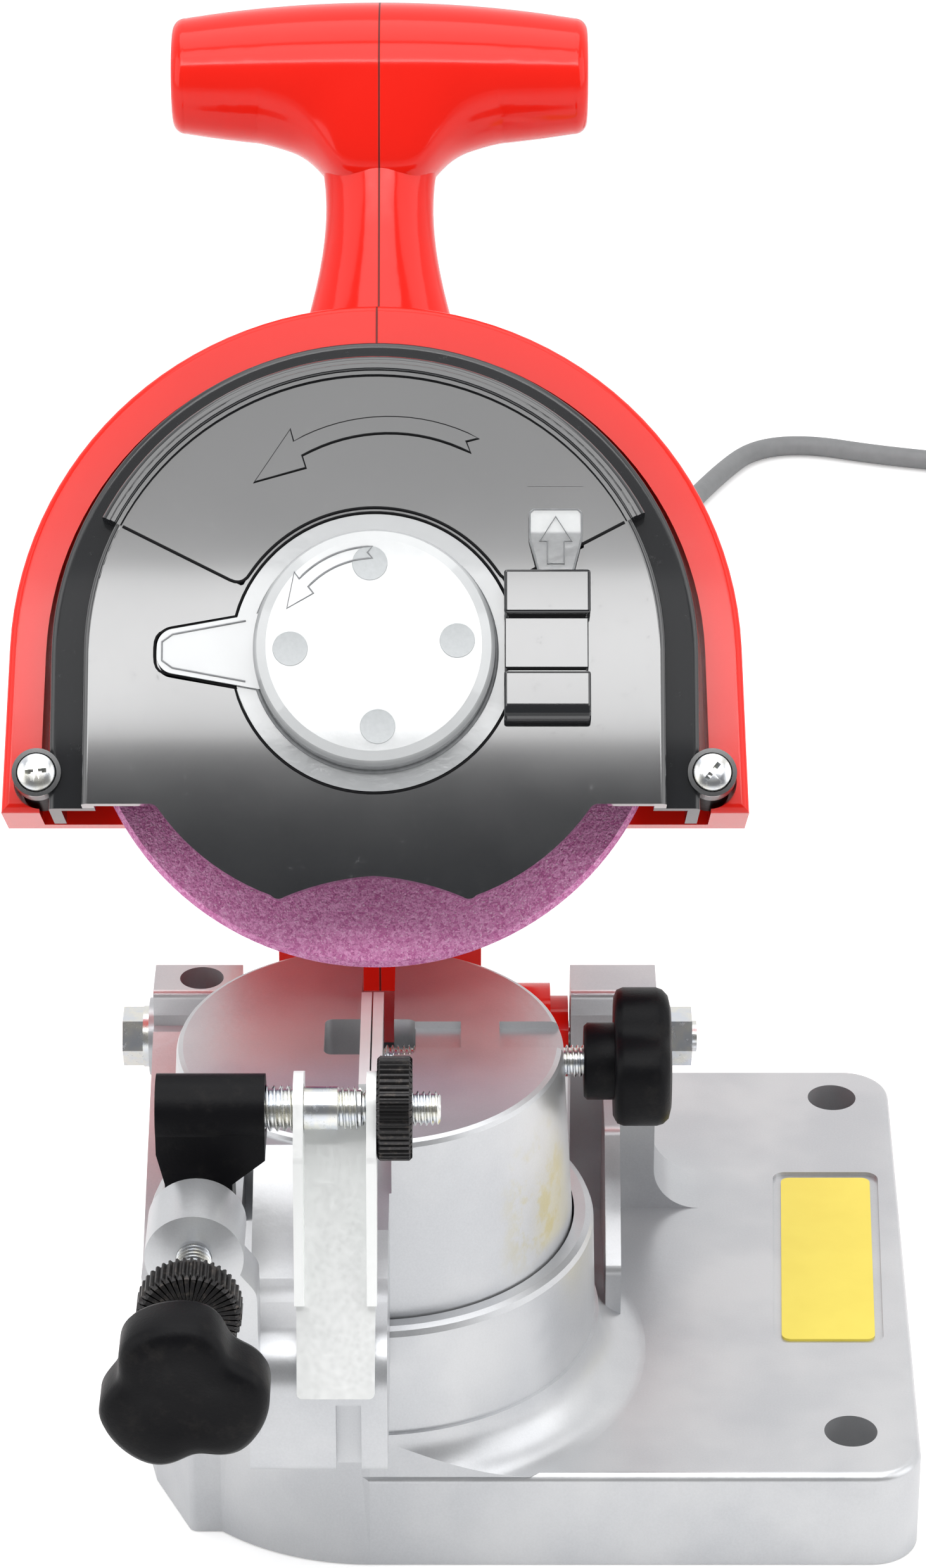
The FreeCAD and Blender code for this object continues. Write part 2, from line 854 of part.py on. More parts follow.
def stop_boss():
    """Boss for the adjuster screw, its web to the nose and the shelf for the holder."""
    back = boss_front + boss_length
    barrel = rod_y(boss_x, boss_z, boss_radius, boss_front, back)
    web = front_solid([
        (web_left, boss_z - boss_radius / 2, 0),
        (web_left, shelf_low, boss_radius / 2),
        (nose_left + overrun, web_low, 0),
        (nose_left + overrun, boss_z - boss_radius, boss_radius / 2),
        (boss_x + boss_radius / 2, boss_z, 0),
    ], boss_front + overrun, back)
    shelf = block(shelf_left, shelf_right, back - overrun, shelf_back, shelf_low, shelf_top)
    shelf = shelf.cut(front_solid([
        (shelf_left - overrun, shelf_low - overrun, 0),
        (shelf_right - overrun, shelf_low - overrun, 0),
        (shelf_left - overrun, shelf_top - overrun, 0),
    ], back, shelf_back + overrun))
    return barrel.fuse([web, shelf])


def turret_casting():
    foot = socket_floor + face_gap
    low_radius = turret_low_radius
    body = spin([
        (0, foot - socket_floor_thick + 2 * face_gap), (spigot_radius, foot - socket_floor_thick + 2 * face_gap),
        (spigot_radius, foot), (low_radius, foot), (low_radius, rim_height),
        (turret_top_radius, turret_top - turret_edge_round),
        (turret_top_radius - turret_edge_round * edge_knee_share, turret_top - turret_edge_round * edge_knee_share),
        (turret_top_radius - turret_edge_round, turret_top), (0, turret_top),
    ])
    body = join(body, nose(), stop_boss())
    half = jaw_length / 2 + slide_gap
    top = turret_top + overrun
    jaw_slot = block(jaw_left - fit_gap, slot_right, -half, half, jaw_bottom - fit_gap, top)
    chain_slot = block(jaw_left - fit_gap, slot_right, nose_front, turret_low_radius + overrun,
                       turret_top - slot_depth, top)
    pocket = plan_solid([
        (pocket_left, pocket_front, pocket_corner), (pocket_right, pocket_front, pocket_corner),
        (pocket_right, pocket_back, pocket_corner), (pocket_left, pocket_back, pocket_corner),
    ], turret_top - pocket_depth, top)
    channel_low = channel_y - channel_width / 2
    channel_high = channel_y + channel_width / 2
    floor = turret_top - channel_depth
    first = block(pocket_right - overrun, channel_first_right, channel_low, channel_high, floor, top)
    second = block(channel_second_left, turret_top_radius + overrun, channel_low, channel_high, floor, top)
    screw = rod_x(channel_y, clamp_screw_z, clamp_screw_radius + fit_gap, slot_right - overrun,
                  turret_low_radius + overrun)
    adjuster = rod_y(boss_x, boss_z, adjuster_radius + fit_gap, boss_front - overrun, boss_front + boss_length + overrun)
    stud = column(0, 0, stud_radius + fit_gap, 0, stud_top)
    for cutter in (jaw_slot, chain_slot, pocket, first, second, screw, adjuster, stud):
        body = body.cut(cutter)
    return body


def clamp_plate(left):
    half = jaw_length / 2
    return block(left, left + jaw_thick, -half, half, jaw_bottom, turret_top + jaw_proud)


def clamp_screw():
    left = jaw_left + 2 * jaw_thick + jaw_gap + face_gap
    return rod_x(channel_y, clamp_screw_z, clamp_screw_radius, left, clamp_star_left)


def clamp_knob():
    hub = along(column(0, 0, clamp_hub_radius, 0, clamp_star_left - clamp_hub_left + overrun),
                Vector(clamp_hub_left, channel_y, clamp_screw_z), X_AXIS)
    grip = along(star(clamp_star_radius, clamp_star_thick), Vector(clamp_star_left, channel_y, clamp_screw_z),
                 X_AXIS, full_turn / 4)
    bore = rod_x(channel_y, clamp_screw_z, clamp_screw_radius + fit_gap, clamp_hub_left - overrun,
                 clamp_star_left + fit_gap)
    return hub.fuse(grip).removeSplitter().cut(bore)


def turret_stud():
    return column(0, 0, stud_radius, stud_bottom, stud_top)


def angle_lock_knob():
    top = socket_floor - socket_floor_thick - lock_washer_thick - face_gap
    hub_low = top - lock_knob_hub_thick
    body = column(0, 0, lock_knob_hub_radius, hub_low, top)
    grip = along(star(lock_knob_radius, lock_knob_thick), Vector(0, 0, hub_low - lock_knob_thick + fit_gap), Z_AXIS)
    body = body.fuse(grip).removeSplitter()
    return body.cut(column(0, 0, stud_radius + fit_gap, stud_bottom - face_gap, top + overrun))


# Chain stop

def stop_holder():
    """Black holder: barrel for the rod, tapered neck, foot that rides on the shelf."""
    front = holder_y - holder_depth / 2
    back = holder_y + holder_depth / 2
    barrel = rod_x(holder_y, rod_z, holder_radius, holder_left, holder_right)
    foot_left = boss_x - holder_foot_width / 2
    foot_right = boss_x + holder_foot_width / 2
    neck_low = boss_z + adjuster_radius
    neck = front_solid([
        (holder_left, rod_z, 0), (holder_left, rod_z - holder_radius, 0),
        (foot_left, neck_low, 0), (foot_left, shelf_top + slide_gap, 0),
        (foot_right, shelf_top + slide_gap, 0), (foot_right, neck_low, 0),
        (holder_right, rod_z - holder_radius * 1.2, 0), (holder_right, rod_z, 0),
    ], front, back)
    body = barrel.fuse(neck).removeSplitter()
    body = body.cut(rod_x(holder_y, rod_z, rod_radius + fit_gap, rod_inner_end - face_gap, holder_right + overrun))
    return body.cut(rod_y(boss_x, boss_z, adjuster_radius + fit_gap, front - overrun, back + overrun))


def stop_rod():
    thick = rod_x(holder_y, rod_z, rod_radius, rod_inner_end, rod_step_x)
    thin = rod_x(holder_y, rod_z, rod_thin_radius, rod_step_x - fit_gap, rod_end - rod_tip_cone)
    tip = Part.makeCone(rod_thin_radius, rod_thin_radius - rod_tip_cone, rod_tip_cone,
                        Vector(rod_end - rod_tip_cone, holder_y, rod_z), X_AXIS)
    return join(thick, thin, tip)


def knurled_nut(radius, bore, thick):
    edge = fit_gap * 10
    body = spin(round_profile(radius, 0, thick, edge, edge))
    return body.cut(column(0, 0, bore + fit_gap, -overrun, thick + overrun))


def rod_thumb_nut():
    return along(knurled_nut(thumb_radius, rod_thin_radius, thumb_thick), Vector(thumb_left, holder_y, rod_z), X_AXIS)


def adjuster_lock_nut():
    return along(knurled_nut(adjuster_nut_radius, adjuster_radius, adjuster_nut_thick),
                 Vector(boss_x, adjuster_nut_front, boss_z), Y_AXIS)


def adjuster_screw():
    return rod_y(boss_x, boss_z, adjuster_radius, adjuster_knob_back, adjuster_end)


def adjuster_knob():
    grip = along(star(adjuster_knob_radius, adjuster_knob_thick),
                 Vector(boss_x, adjuster_knob_back, boss_z), Vector(0, -1, 0), full_turn / star_lobes / 4)
    hub = rod_y(boss_x, boss_z, adjuster_knob_hub_radius, adjuster_knob_back - overrun,
                adjuster_knob_back + adjuster_knob_hub_length)
    bore = rod_y(boss_x, boss_z, adjuster_radius + fit_gap, adjuster_knob_back - fit_gap,
                 adjuster_knob_back + adjuster_knob_hub_length + overrun)
    return grip.fuse(hub).removeSplitter().cut(bore)


def chain_stop_flap():
    """Folded sheet: two ears on the rod, a web behind it, side walls and a tongue. Drawn hanging down."""
    right = flap_left + flap_width
    back = flap_web_offset
    front = flap_web_offset - flap_web_thick
    web = front_solid([
        (flap_left, flap_ear_radius, 0), (right, flap_ear_radius, 0),
        (right - flap_tongue_taper, -flap_length, flap_tip_corner),
        (flap_left + flap_tongue_taper, -flap_length, flap_tip_corner),
    ], front, back)

    def ear(left):
        wall = side_solid([
            (back, flap_ear_radius, 0), (back, -flap_wall_length, 0),
            (front - flap_wall, -flap_wall_length, 0),
            (-flap_ear_radius, -flap_ear_radius * 1.4, flap_ear_radius / 2),
            (-flap_ear_radius, flap_ear_radius, flap_ear_radius * 0.9),
        ], left, left + flap_wall)
        return wall.cut(rod_x(0, 0, rod_radius + slide_gap, left - overrun, left + flap_wall + overrun))

    body = join(web, ear(flap_left), ear(right - flap_wall))
    body = body.cut(block(flap_left + flap_wall, right - flap_wall, front - overrun, back + overrun, 0,
                          flap_ear_radius + overrun))
    body.Placement = Placement(Vector(0, holder_y, rod_z), Rotation(X_AXIS, -flap_lean))
    return body


# Head

def dome_wire(radius, rise, half_width, bottom):
    """Wire of a round top on two straight sides that open downwards, in the head frame."""
    reach = math.hypot(half_width, bottom - rise)
    slant = math.atan2(bottom - rise, half_width)
    touch = slant + math.acos(min(radius / reach, 1))
    right = Vector(radius * math.cos(touch), rise + radius * math.sin(touch), 0)
    left = Vector(-right.x, right.y, 0)
    low_right = Vector(half_width, bottom, 0)
    low_left = Vector(-half_width, bottom, 0)
    return Part.Wire([
        Part.LineSegment(low_right, right).toShape(),
        Part.Arc(right, Vector(0, rise + radius, 0), left).toShape(),
        Part.LineSegment(left, low_left).toShape(),
        Part.LineSegment(low_left, low_right).toShape(),
    ])


def dome_solid(radius, rise, half_width, bottom, low, high):
    body = Part.Face(dome_wire(radius, rise, half_width, bottom)).extrude(Vector(0, 0, high - low))
    body.translate(Vector(0, 0, low))
    return body


def front_rim_edges(body, front):
    return [e for e in body.Edges if abs(e.BoundBox.ZMin - front) < fit_gap
            and abs(e.BoundBox.ZMax - front) < fit_gap]


def hood():
    """Hood round the wheel: floor behind the wheel and a rim that is open below."""
    body = dome_solid(hood_radius, hood_rise, hood_half_width, hood_bottom, hood_floor - hood_floor_thick, hood_front)
    body = body.makeFillet(hood_edge_round, front_rim_edges(body, hood_front))
    widen = (hood_inner_half_width - hood_inner_radius) / (hood_inner_rise - hood_bottom)
    inner = dome_solid(hood_inner_radius, hood_inner_rise, hood_inner_half_width + widen * overrun,
                       hood_bottom - overrun, hood_floor, hood_front + overrun)
    return body.cut(inner)


def barrel_profile(wall):
    """Half section of the motor barrel, drawn in by a wall."""
    round_in = barrel_rear_round - wall
    rear = barrel_rear + wall
    knee = round_in * edge_knee_share
    front = hood_floor - hood_floor_thick - (wall if wall > 0 else -face_gap)
    return [
        (0, rear), (barrel_rear_radius - wall - round_in, rear), (barrel_rear_radius - wall - knee, rear + knee),
        (barrel_rear_radius - wall, rear + round_in), (barrel_radius - wall, front), (0, front),
    ]


def leg_corners(inset):
    """Side outline of the leg from the barrel to the hinge hub, in y and z of the head."""
    return [
        (-barrel_radius * leg_root_share, hinge_local_z * leg_front_share - inset, 0),
        (hinge_local_y + inset, hinge_local_z + hub_radius - inset, 0),
        (hinge_local_y + inset, hinge_local_z - hub_radius + inset, 0),
        (-barrel_radius * leg_root_share, hinge_local_z * leg_back_share + inset, 0),
    ]


def ellipse_wire(half_x, half_z, y, z):
    curve = Part.Ellipse(Vector(0, 0, 0), max(half_x, half_z), min(half_x, half_z))
    wire = Part.Wire(curve.toShape())
    turn = 0 if half_x >= half_z else full_turn / 4
    wire.Placement = Placement(Vector(0, y, z), Rotation(X_AXIS, full_turn / 4).multiply(Rotation(Z_AXIS, turn)))
    return wire


def neck(inset):
    """Neck of the handle: waisted, and flared into the bar and the barrel."""
    sections = [
        (bar_y - bar_radius * down, neck_top_half_width * wide, bar_z - neck_depth * back, neck_depth)
        for down, wide, back in neck_upper_shares
    ]
    foot_wide, foot_deep = neck_foot_shares
    sections += [
        (neck_foot_y + bar_radius * neck_bend_share, neck_low_half_width, neck_bend_z, neck_low_depth),
        (neck_foot_y, neck_low_half_width * foot_wide, neck_foot_z, neck_low_depth * foot_deep),
    ]
    wires = [ellipse_wire(wide - inset, deep - inset, y, z) for y, wide, z, deep in sections]
    return Part.makeLoft(wires, True, False)


def bar(inset):
    """Cross bar of the handle: crowned in the middle, round at the ends."""
    end = bar_half_length - inset
    edge = bar_end_round
    top = bar_radius - inset
    tip = bar_end_radius - inset
    left = Vector(-end + edge, 0, tip)
    right = Vector(end - edge, 0, tip)
    face_right = Vector(end, 0, tip - edge)
    face_left = Vector(-end, 0, tip - edge)
    knee = edge * (1 - edge_knee_share)
    edges = [
        Part.Arc(left, Vector(0, 0, top), right).toShape(),
        Part.Arc(right, Vector(end - edge + knee, 0, tip - edge + knee), face_right).toShape(),
        Part.LineSegment(face_right, Vector(end, 0, 0)).toShape(),
        Part.LineSegment(Vector(end, 0, 0), Vector(-end, 0, 0)).toShape(),
        Part.LineSegment(Vector(-end, 0, 0), face_left).toShape(),
        Part.Arc(face_left, Vector(-end + edge - knee, 0, tip - edge + knee), left).toShape(),
    ]
    body = Part.Face(Part.Wire(edges)).revolve(Vector(0, 0, 0), X_AXIS, full_turn)
    body.translate(Vector(0, bar_y, bar_z))
    return body


def head_block(x0, x1, y0, y1, z0, z1):
    return Part.makeBox(x1 - x0, y1 - y0, z1 - z0, Vector(x0, y0, z0))


def housing_screw_spots():
    """Places of the screws that hold the two shells: beside the barrel, in the leg and in the neck."""
    over, back, half = barrel_screw_shares
    down, rear, deep = leg_screw_shares
    return [
        (barrel_radius * over, hinge_local_z * back, neck_low_half_width * half),
        (neck_screw_y, neck_bend_z, neck_low_half_width * neck_screw_share),
        (hinge_local_y * down, hinge_local_z * rear, leg_half_width * deep),
    ]


def housing_solid():
    outer = spin(barrel_profile(0))
    inner = spin(barrel_profile(shell_wall))
    leg = side_solid(leg_corners(0), -leg_half_width, leg_half_width)
    hub = rod_x(hinge_local_y, hinge_local_z, hub_radius, hub_left - head_x, hub_step_x - head_x)
    hub_end = rod_x(hinge_local_y, hinge_local_z, hub_step_radius, hub_step_x - head_x, hub_right - head_x)
    body = join(hood(), outer, leg, hub, hub_end, neck(0), bar(0))
    posts = [body.common(rod_x(y, z, housing_boss_radius, -leg_half_width, leg_half_width))
             for y, z, half in housing_screw_spots()]
    handle_room = neck(shell_wall).fuse(bar(shell_wall)).removeSplitter()
    body = body.cut(handle_room.cut(outer))
    body = body.cut(inner)
    seat_front = bearing_front + bearing_seat_wall
    seat_back = bearing_front - bearing_thick
    seat = column(0, 0, bearing_radius + bearing_seat_wall, seat_back, hood_floor - hood_floor_thick + face_gap)
    rear_back = rear_bearing_front - rear_bearing_thick
    rear_seat = tube(rear_bearing_radius + bearing_seat_wall, rear_bearing_radius + fit_gap,
                     barrel_rear + face_gap, rear_bearing_front)
    body = join(body, seat, rear_seat, *posts)
    body = body.cut(column(0, 0, floor_hole_radius, hood_floor - flange_thick + wheel_thick / 2 - slide_gap,
                           hood_floor + overrun))
    body = body.cut(column(0, 0, shaft_radius + overrun, seat_back - overrun, hood_floor + overrun))
    body = body.cut(column(0, 0, bearing_radius + fit_gap, seat_back - overrun, bearing_front))
    body = body.cut(column(0, 0, rear_bearing_radius + fit_gap, rear_back - fit_gap, rear_bearing_front + overrun))
    for side in (-1, 1):
        notch = column(side * guard_ear_x, guard_ear_y, ear_notch_radius, sleeve_back, hood_front + overrun)
        hole = column(side * guard_ear_x, guard_ear_y, guard_screw_radius + fit_gap, guard_screw_end, hood_front)
        body = body.cut(notch).cut(hole)
    body = body.cut(rod_x(hinge_local_y, hinge_local_z, sleeve_radius + fit_gap, hub_left - head_x - overrun,
                          hub_right - head_x + overrun))
    body = body.cut(rod_x(hinge_local_y, hinge_local_z, spring_room_radius, hub_left - head_x - overrun,
                          spring_room_end - head_x))
    for y, z, half in housing_screw_spots():
        body = body.cut(rod_x(y, z, housing_screw_radius + fit_gap, -half, half + fit_gap))
        body = body.cut(rod_x(y, z, housing_screw_head + slide_gap, half, leg_half_width + overrun))
    body = body.cut(gland_room())
    return body.cut(switch_room()).cut(vents())


def vents():
    """Rows of air slots in both flanks of the barrel."""
    cutters = []
    for index in range(vent_count):
        z = vent_front - vent_pitch * (index - vent_count / 2)
        slot = head_block(-barrel_radius - overrun, barrel_radius + overrun, -vent_length / 2, vent_length / 2,
                          z - vent_width, z)
        cutters.append(slot)
    rows = cutters[0].fuse(cutters[1:])
    keep = column(0, 0, barrel_radius - shell_wall * 2, barrel_rear, 0)
    return rows.cut(keep)


def gland_room():
    hole = column(0, gland_y, gland_neck + fit_gap, barrel_rear - overrun, barrel_rear + shell_wall + overrun)
    return hole


def switch_top():
    return math.sqrt(barrel_rear_radius ** 2 - (switch_width / 2) ** 2) - switch_lip


def switch_room():
    return head_block(-switch_width / 2 - fit_gap, switch_width / 2 + fit_gap, switch_top() - switch_depth / 2,
                      barrel_radius + overrun, switch_z - switch_length - fit_gap, switch_z + fit_gap)


def finger():
    """Stop finger under the hub, in the frame of the whole part."""
    mid = stop_post_left + stop_post_width / 2
    shape = side_solid([
        (finger_front, finger_low, 0), (finger_back, finger_low, 0), (hinge_y + hub_radius, hinge_z, 0),
        (hinge_y - hub_radius, hinge_z, 0),
    ], mid - finger_width / 2, mid + finger_width / 2)
    room = rod_x(hinge_y, hinge_z, spring_room_radius, hub_left - overrun, spring_room_end)
    bore = rod_x(hinge_y, hinge_z, sleeve_radius + fit_gap, hub_left - overrun, hub_right + overrun)
    return shape.cut(bore).cut(room)


def housing_halves():
    whole = to_head(housing_solid())
    big = hood_radius * 4
    left = whole.common(block(-big, head_x, -big, big, -big, big))
    right = whole.common(block(head_x, big, -big, big, -big, big))
    return left, right.fuse(finger())


def housing_screws():
    solids = []
    for y, z, half in housing_screw_spots():
        stem = rod_x(y, z, housing_screw_radius, -half + fit_gap, half)
        head = rod_x(y, z, housing_screw_head, half, half + housing_screw_radius)
        solids.append(stem.fuse(head).removeSplitter())
    return solids


def hinge_sleeve():
    body = rod_x(hinge_y, hinge_z, sleeve_radius, hub_left, hub_right)
    return body.cut(rod_x(hinge_y, hinge_z, bolt_radius + fit_gap, hub_left - overrun, hub_right + overrun))


guard_lip_shares = (
    ((0.0, -0.697), (0.155, -0.722), (0.272, -0.762)),
    ((0.272, -0.762), (0.290, -0.768), (0.312, -0.757)),
    ((0.312, -0.757), (0.500, -0.654), (0.658, -0.490)),
    ((0.658, -0.490), (0.672, -0.477), (0.690, -0.474)),
)


def guard_lower_cut(low, high):
    """Everything below the lower lip of the guard: a notch in the middle and a round lobe on each side."""
    def place(share):
        return Vector(share[0] * guard_radius, share[1] * guard_radius, 0)

    def mirror(point):
        return Vector(-point.x, point.y, 0)

    right = []
    left = []
    for start, middle, end in guard_lip_shares:
        right.append(Part.Arc(place(start), place(middle), place(end)).toShape())
        left.append(Part.Arc(mirror(place(end)), mirror(place(middle)), mirror(place(start))).toShape())
    edge = place(guard_lip_shares[-1][2])
    side = Vector(hood_radius + overrun, edge.y, 0)
    deep = Vector(hood_radius + overrun, -hood_radius * 2, 0)
    edges = left[::-1] + right + [
        Part.LineSegment(edge, side).toShape(),
        Part.LineSegment(side, deep).toShape(),
        Part.LineSegment(deep, mirror(deep)).toShape(),
        Part.LineSegment(mirror(deep), mirror(side)).toShape(),
        Part.LineSegment(mirror(side), mirror(edge)).toShape(),
    ]
    body = Part.Face(Part.Wire(edges)).extrude(Vector(0, 0, high - low))
    body.translate(Vector(0, 0, low))
    return body


def sector(inner, outer, start, end, low, high):
    """Part of a ring between two angles, in degrees from +x."""
    body = Part.makeCylinder(outer, high - low, Vector(0, 0, low), Z_AXIS, end - start)
    body.rotate(Vector(0, 0, 0), Z_AXIS, start)
    return body.cut(column(0, 0, inner, low - overrun, high + overrun))


def tab_corners(grow):
    root = -cover_radius * cover_tab_root_share
    tip = cover_tab_tip - grow
    half = cover_tab_root_half + grow
    point = cover_tab_tip_radius + grow
    return [
        (root, half, 0), (root, -half, 0),
        (tip, -point, point * cover_tab_round_share), (tip, point, point * cover_tab_round_share),
    ]


def top_circle_edges(body, height):
    return [e for e in body.Edges if abs(e.BoundBox.ZMin - height) < fit_gap
            and abs(e.BoundBox.ZMax - height) < fit_gap and isinstance(e.Curve, Part.Circle)]


def fan_pad():
    """Raised fan that reaches past the face of the guard, with a rounded rim."""
    inner = guard_face_radius - guard_wall
    outer = guard_face_radius + fan_pad_reach
    pad = sector(inner, outer, fan_step_right_angle, fan_step_left_angle, guard_front - guard_wall,
                 guard_face_front)
    rim = [e for e in top_circle_edges(pad, guard_face_front) if e.Curve.Radius > guard_face_radius]
    return pad.makeFillet(guard_edge_round, rim)


def fan_ridge():
    """Bead along the rim of the fan."""
    outer = guard_face_radius + fan_pad_reach - guard_edge_round - ridge_inset
    top = guard_face_front + ridge_rise
    bead = sector(outer - ridge_width, outer, fan_step_right_angle, fan_step_left_angle,
                  guard_face_front - face_gap, top)
    return bead.makeFillet(ridge_round, top_circle_edges(bead, top))


def wheel_guard():
    """Black guard: flange, raised face, skirt round the wheel, ears, lower lip, window and pockets."""
    low = hood_bottom - hood_radius
    flange = dome_solid(guard_radius, guard_rise, guard_half_width, low, guard_skirt_back, guard_front)
    flange = flange.makeFillet(guard_edge_round, front_rim_edges(flange, guard_front))
    face = dome_solid(guard_face_radius, guard_rise, guard_face_half_width, low, guard_front - guard_wall,
                      guard_face_front)
    face = face.makeFillet(guard_edge_round, front_rim_edges(face, guard_face_front))
    ears = []
    for side in (-1, 1):
        ears.append(column(side * guard_ear_x, guard_ear_y, guard_ear_radius, guard_ear_front - guard_ear_thick,
                           guard_ear_front))
    body = join(flange, face, fan_pad(), fan_ridge(), *ears)
    room = dome_solid(guard_radius - guard_wall, guard_rise, guard_half_width - guard_wall, low - overrun,
                      guard_skirt_back - overrun, guard_front - guard_wall)
    room_face = dome_solid(guard_face_radius - guard_wall, guard_rise, guard_face_half_width - guard_wall,
                           low - overrun, guard_front - guard_wall - face_gap, guard_face_front - guard_wall)
    ring_pocket = column(0, 0, cover_flange_radius + slide_gap, guard_face_front - tab_pocket_depth,
                         guard_face_front + overrun)
    tab_pocket = plan_solid(tab_corners(slide_gap * 2), guard_face_front - tab_pocket_depth,
                            guard_face_front + overrun)
    step = sector(fan_step_inner, fan_step_outer, fan_step_right_angle, fan_step_left_angle,
                  guard_face_front - fan_step_depth, guard_face_front + overrun)
    latch_pocket = head_block(latch_tab_left - slide_gap, latch_tab_right + slide_gap, latch_high - latch_travel,
                              latch_tab_high + latch_travel + slide_gap * 2, guard_face_front - tab_pocket_depth,
                              guard_face_front + overrun)
    window = column(0, 0, guard_window_radius, guard_skirt_back, guard_face_front + overrun)
    for cutter in (guard_lower_cut(0, guard_face_front + overrun), room, room_face, step, ring_pocket, tab_pocket,
                   latch_pocket, window):
        body = body.cut(cutter)
    for side in (-1, 1):
        body = body.cut(column(side * guard_ear_x, guard_ear_y, sleeve_outer_radius + slide_gap, 0,
                               guard_ear_front - guard_ear_thick))
        body = body.cut(column(side * guard_ear_x, guard_ear_y, guard_screw_radius + fit_gap, 0,
                               guard_ear_front + overrun))
        body = body.cut(column(side * guard_ear_x, guard_ear_y, guard_screw_head_radius + fit_gap,
                               guard_ear_front - guard_screw_head_thick / 2, guard_ear_front + overrun))
    return body


def guard_screw(side):
    seat = guard_ear_front - guard_screw_head_thick / 2
    stem = column(side * guard_ear_x, guard_ear_y, guard_screw_radius, guard_screw_end + face_gap, seat)
    head = along(spin(round_profile(guard_screw_head_radius, 0, guard_screw_head_thick,
                                    guard_screw_head_thick / 2)),
                 Vector(side * guard_ear_x, guard_ear_y, seat), Z_AXIS)
    return stem.fuse(head).removeSplitter()


def guard_sleeve(side):
    return tube(sleeve_outer_radius, guard_screw_radius + fit_gap, sleeve_back, guard_ear_front - guard_ear_thick,
                side * guard_ear_x, guard_ear_y)


def spindle_cover():
    """Clear cap with a ring flange and a pointed tab."""
    floor = guard_face_front - tab_pocket_depth
    cap = spin(round_profile(cover_radius, floor, cover_front, cover_edge_round))
    ring = column(0, 0, cover_flange_radius, floor, floor + cover_flange_thick)
    tab = plan_solid(tab_corners(0), floor, floor + cover_tab_thick)
    body = join(cap, ring, tab)
    return body.cut(column(0, 0, cover_radius - cover_wall, floor - overrun, cover_front - cover_wall))


def cover_latch():
    """Black latch in three steps with a rounded foot."""
    seat = guard_face_front + face_gap
    side = side_solid([
        (latch_low, seat, 0), (latch_high, seat, 0), (latch_high, latch_step_front, latch_round),
        (latch_upper_step, latch_step_front, 0), (latch_upper_step, latch_middle_front, 0),
        (latch_lower_step, latch_middle_front, 0), (latch_lower_step, latch_low_front, 0),
        (latch_low, latch_low_front, latch_round * 2),
    ], latch_left, latch_right)
    under = column(0, 0, cover_flange_radius + slide_gap, 0,
                   guard_face_front - tab_pocket_depth + cover_flange_thick + face_gap)
    return side.cut(under)


def latch_tab():
    """Clear pointed tab that goes with the latch, in its pocket in the guard."""
    low = guard_face_front - tab_pocket_depth + face_gap
    body = plan_solid([
        (latch_tab_left + latch_tab_neck_inset, latch_high + face_gap, 0),
        (latch_tab_right - latch_tab_neck_inset, latch_high + face_gap, 0),
        (latch_tab_right, latch_tab_neck_y, 0),
        (latch_tab_right, latch_tab_high, latch_round),
        (latch_tab_left, latch_tab_high, latch_round),
        (latch_tab_left, latch_tab_neck_y, 0),
    ], low, low + latch_tab_thick)
    return body


# Spindle and motor

def grinding_wheel():
    half = wheel_thick / 2
    body = spin([
        (wheel_bore, -half), (wheel_radius - wheel_edge_bevel, -half), (wheel_radius, 0),
        (wheel_radius - wheel_edge_bevel, half), (wheel_bore, half),
    ])
    return body


def inner_flange():
    half = wheel_thick / 2
    return spin([
        (shaft_radius + fit_gap, -half - flange_thick), (flange_radius, -half - flange_thick),
        (flange_radius, -half), (flange_radius - flange_thick, -half), (flange_radius - flange_thick, -half - flange_relief),
        (wheel_bore - fit_gap, -half - flange_relief), (wheel_bore - fit_gap, half - flange_relief),
        (shaft_radius + fit_gap, half - flange_relief),
    ])


def outer_flange():
    half = wheel_thick / 2
    return spin([
        (shaft_radius + fit_gap, half), (flange_radius, half), (flange_radius, half + flange_thick / 2),
        (flange_radius - flange_thick / 2, half + flange_thick), (shaft_radius + fit_gap, half + flange_thick),
    ])


def wheel_nut():
    low = wheel_thick / 2 + flange_thick
    nut = hex_solid(nut_flats, low, low + nut_thick)
    return nut.cut(column(0, 0, shaft_radius + fit_gap, low - overrun, low + nut_thick + overrun))


def motor_shaft():
    rear = rear_bearing_front - rear_bearing_thick
    front = column(0, 0, shaft_radius, rear_bearing_front, shaft_front)
    return front.fuse(column(0, 0, shaft_rear_radius, rear, rear_bearing_front)).removeSplitter()


def ball_bearing(radius, bore, low, thick):
    """Bearing as one ring with a groove on both faces."""
    body = tube(radius, bore + fit_gap, low, low + thick)
    outer = radius * bearing_groove_shares[0]
    inner = radius * bearing_groove_shares[1]
    groove = tube(outer, inner, low - overrun, low + thick / 8)
    other = tube(outer, inner, low + thick - thick / 8, low + thick + overrun)
    return body.cut(groove).cut(other)


def cooling_fan():
    hub = column(0, 0, fan_hub_radius, fan_back, fan_back + fan_plate + fan_blade_height)
    plate = column(0, 0, fan_radius, fan_back, fan_back + fan_plate)
    blades = []
    for index in range(fan_blades):
        blade = head_block(fan_hub_radius - fan_plate, fan_radius - fan_plate, -fan_blade_thick / 2,
                           fan_blade_thick / 2, fan_back + fan_plate - fit_gap,
                           fan_back + fan_plate + fan_blade_height)
        blade.rotate(Vector(0, 0, 0), Z_AXIS, full_turn * index / fan_blades)
        blades.append(blade)
    body = join(hub, plate, *blades)
    return body.cut(column(0, 0, shaft_radius + fit_gap, fan_back - overrun,
                           fan_back + fan_plate + fan_blade_height + overrun))


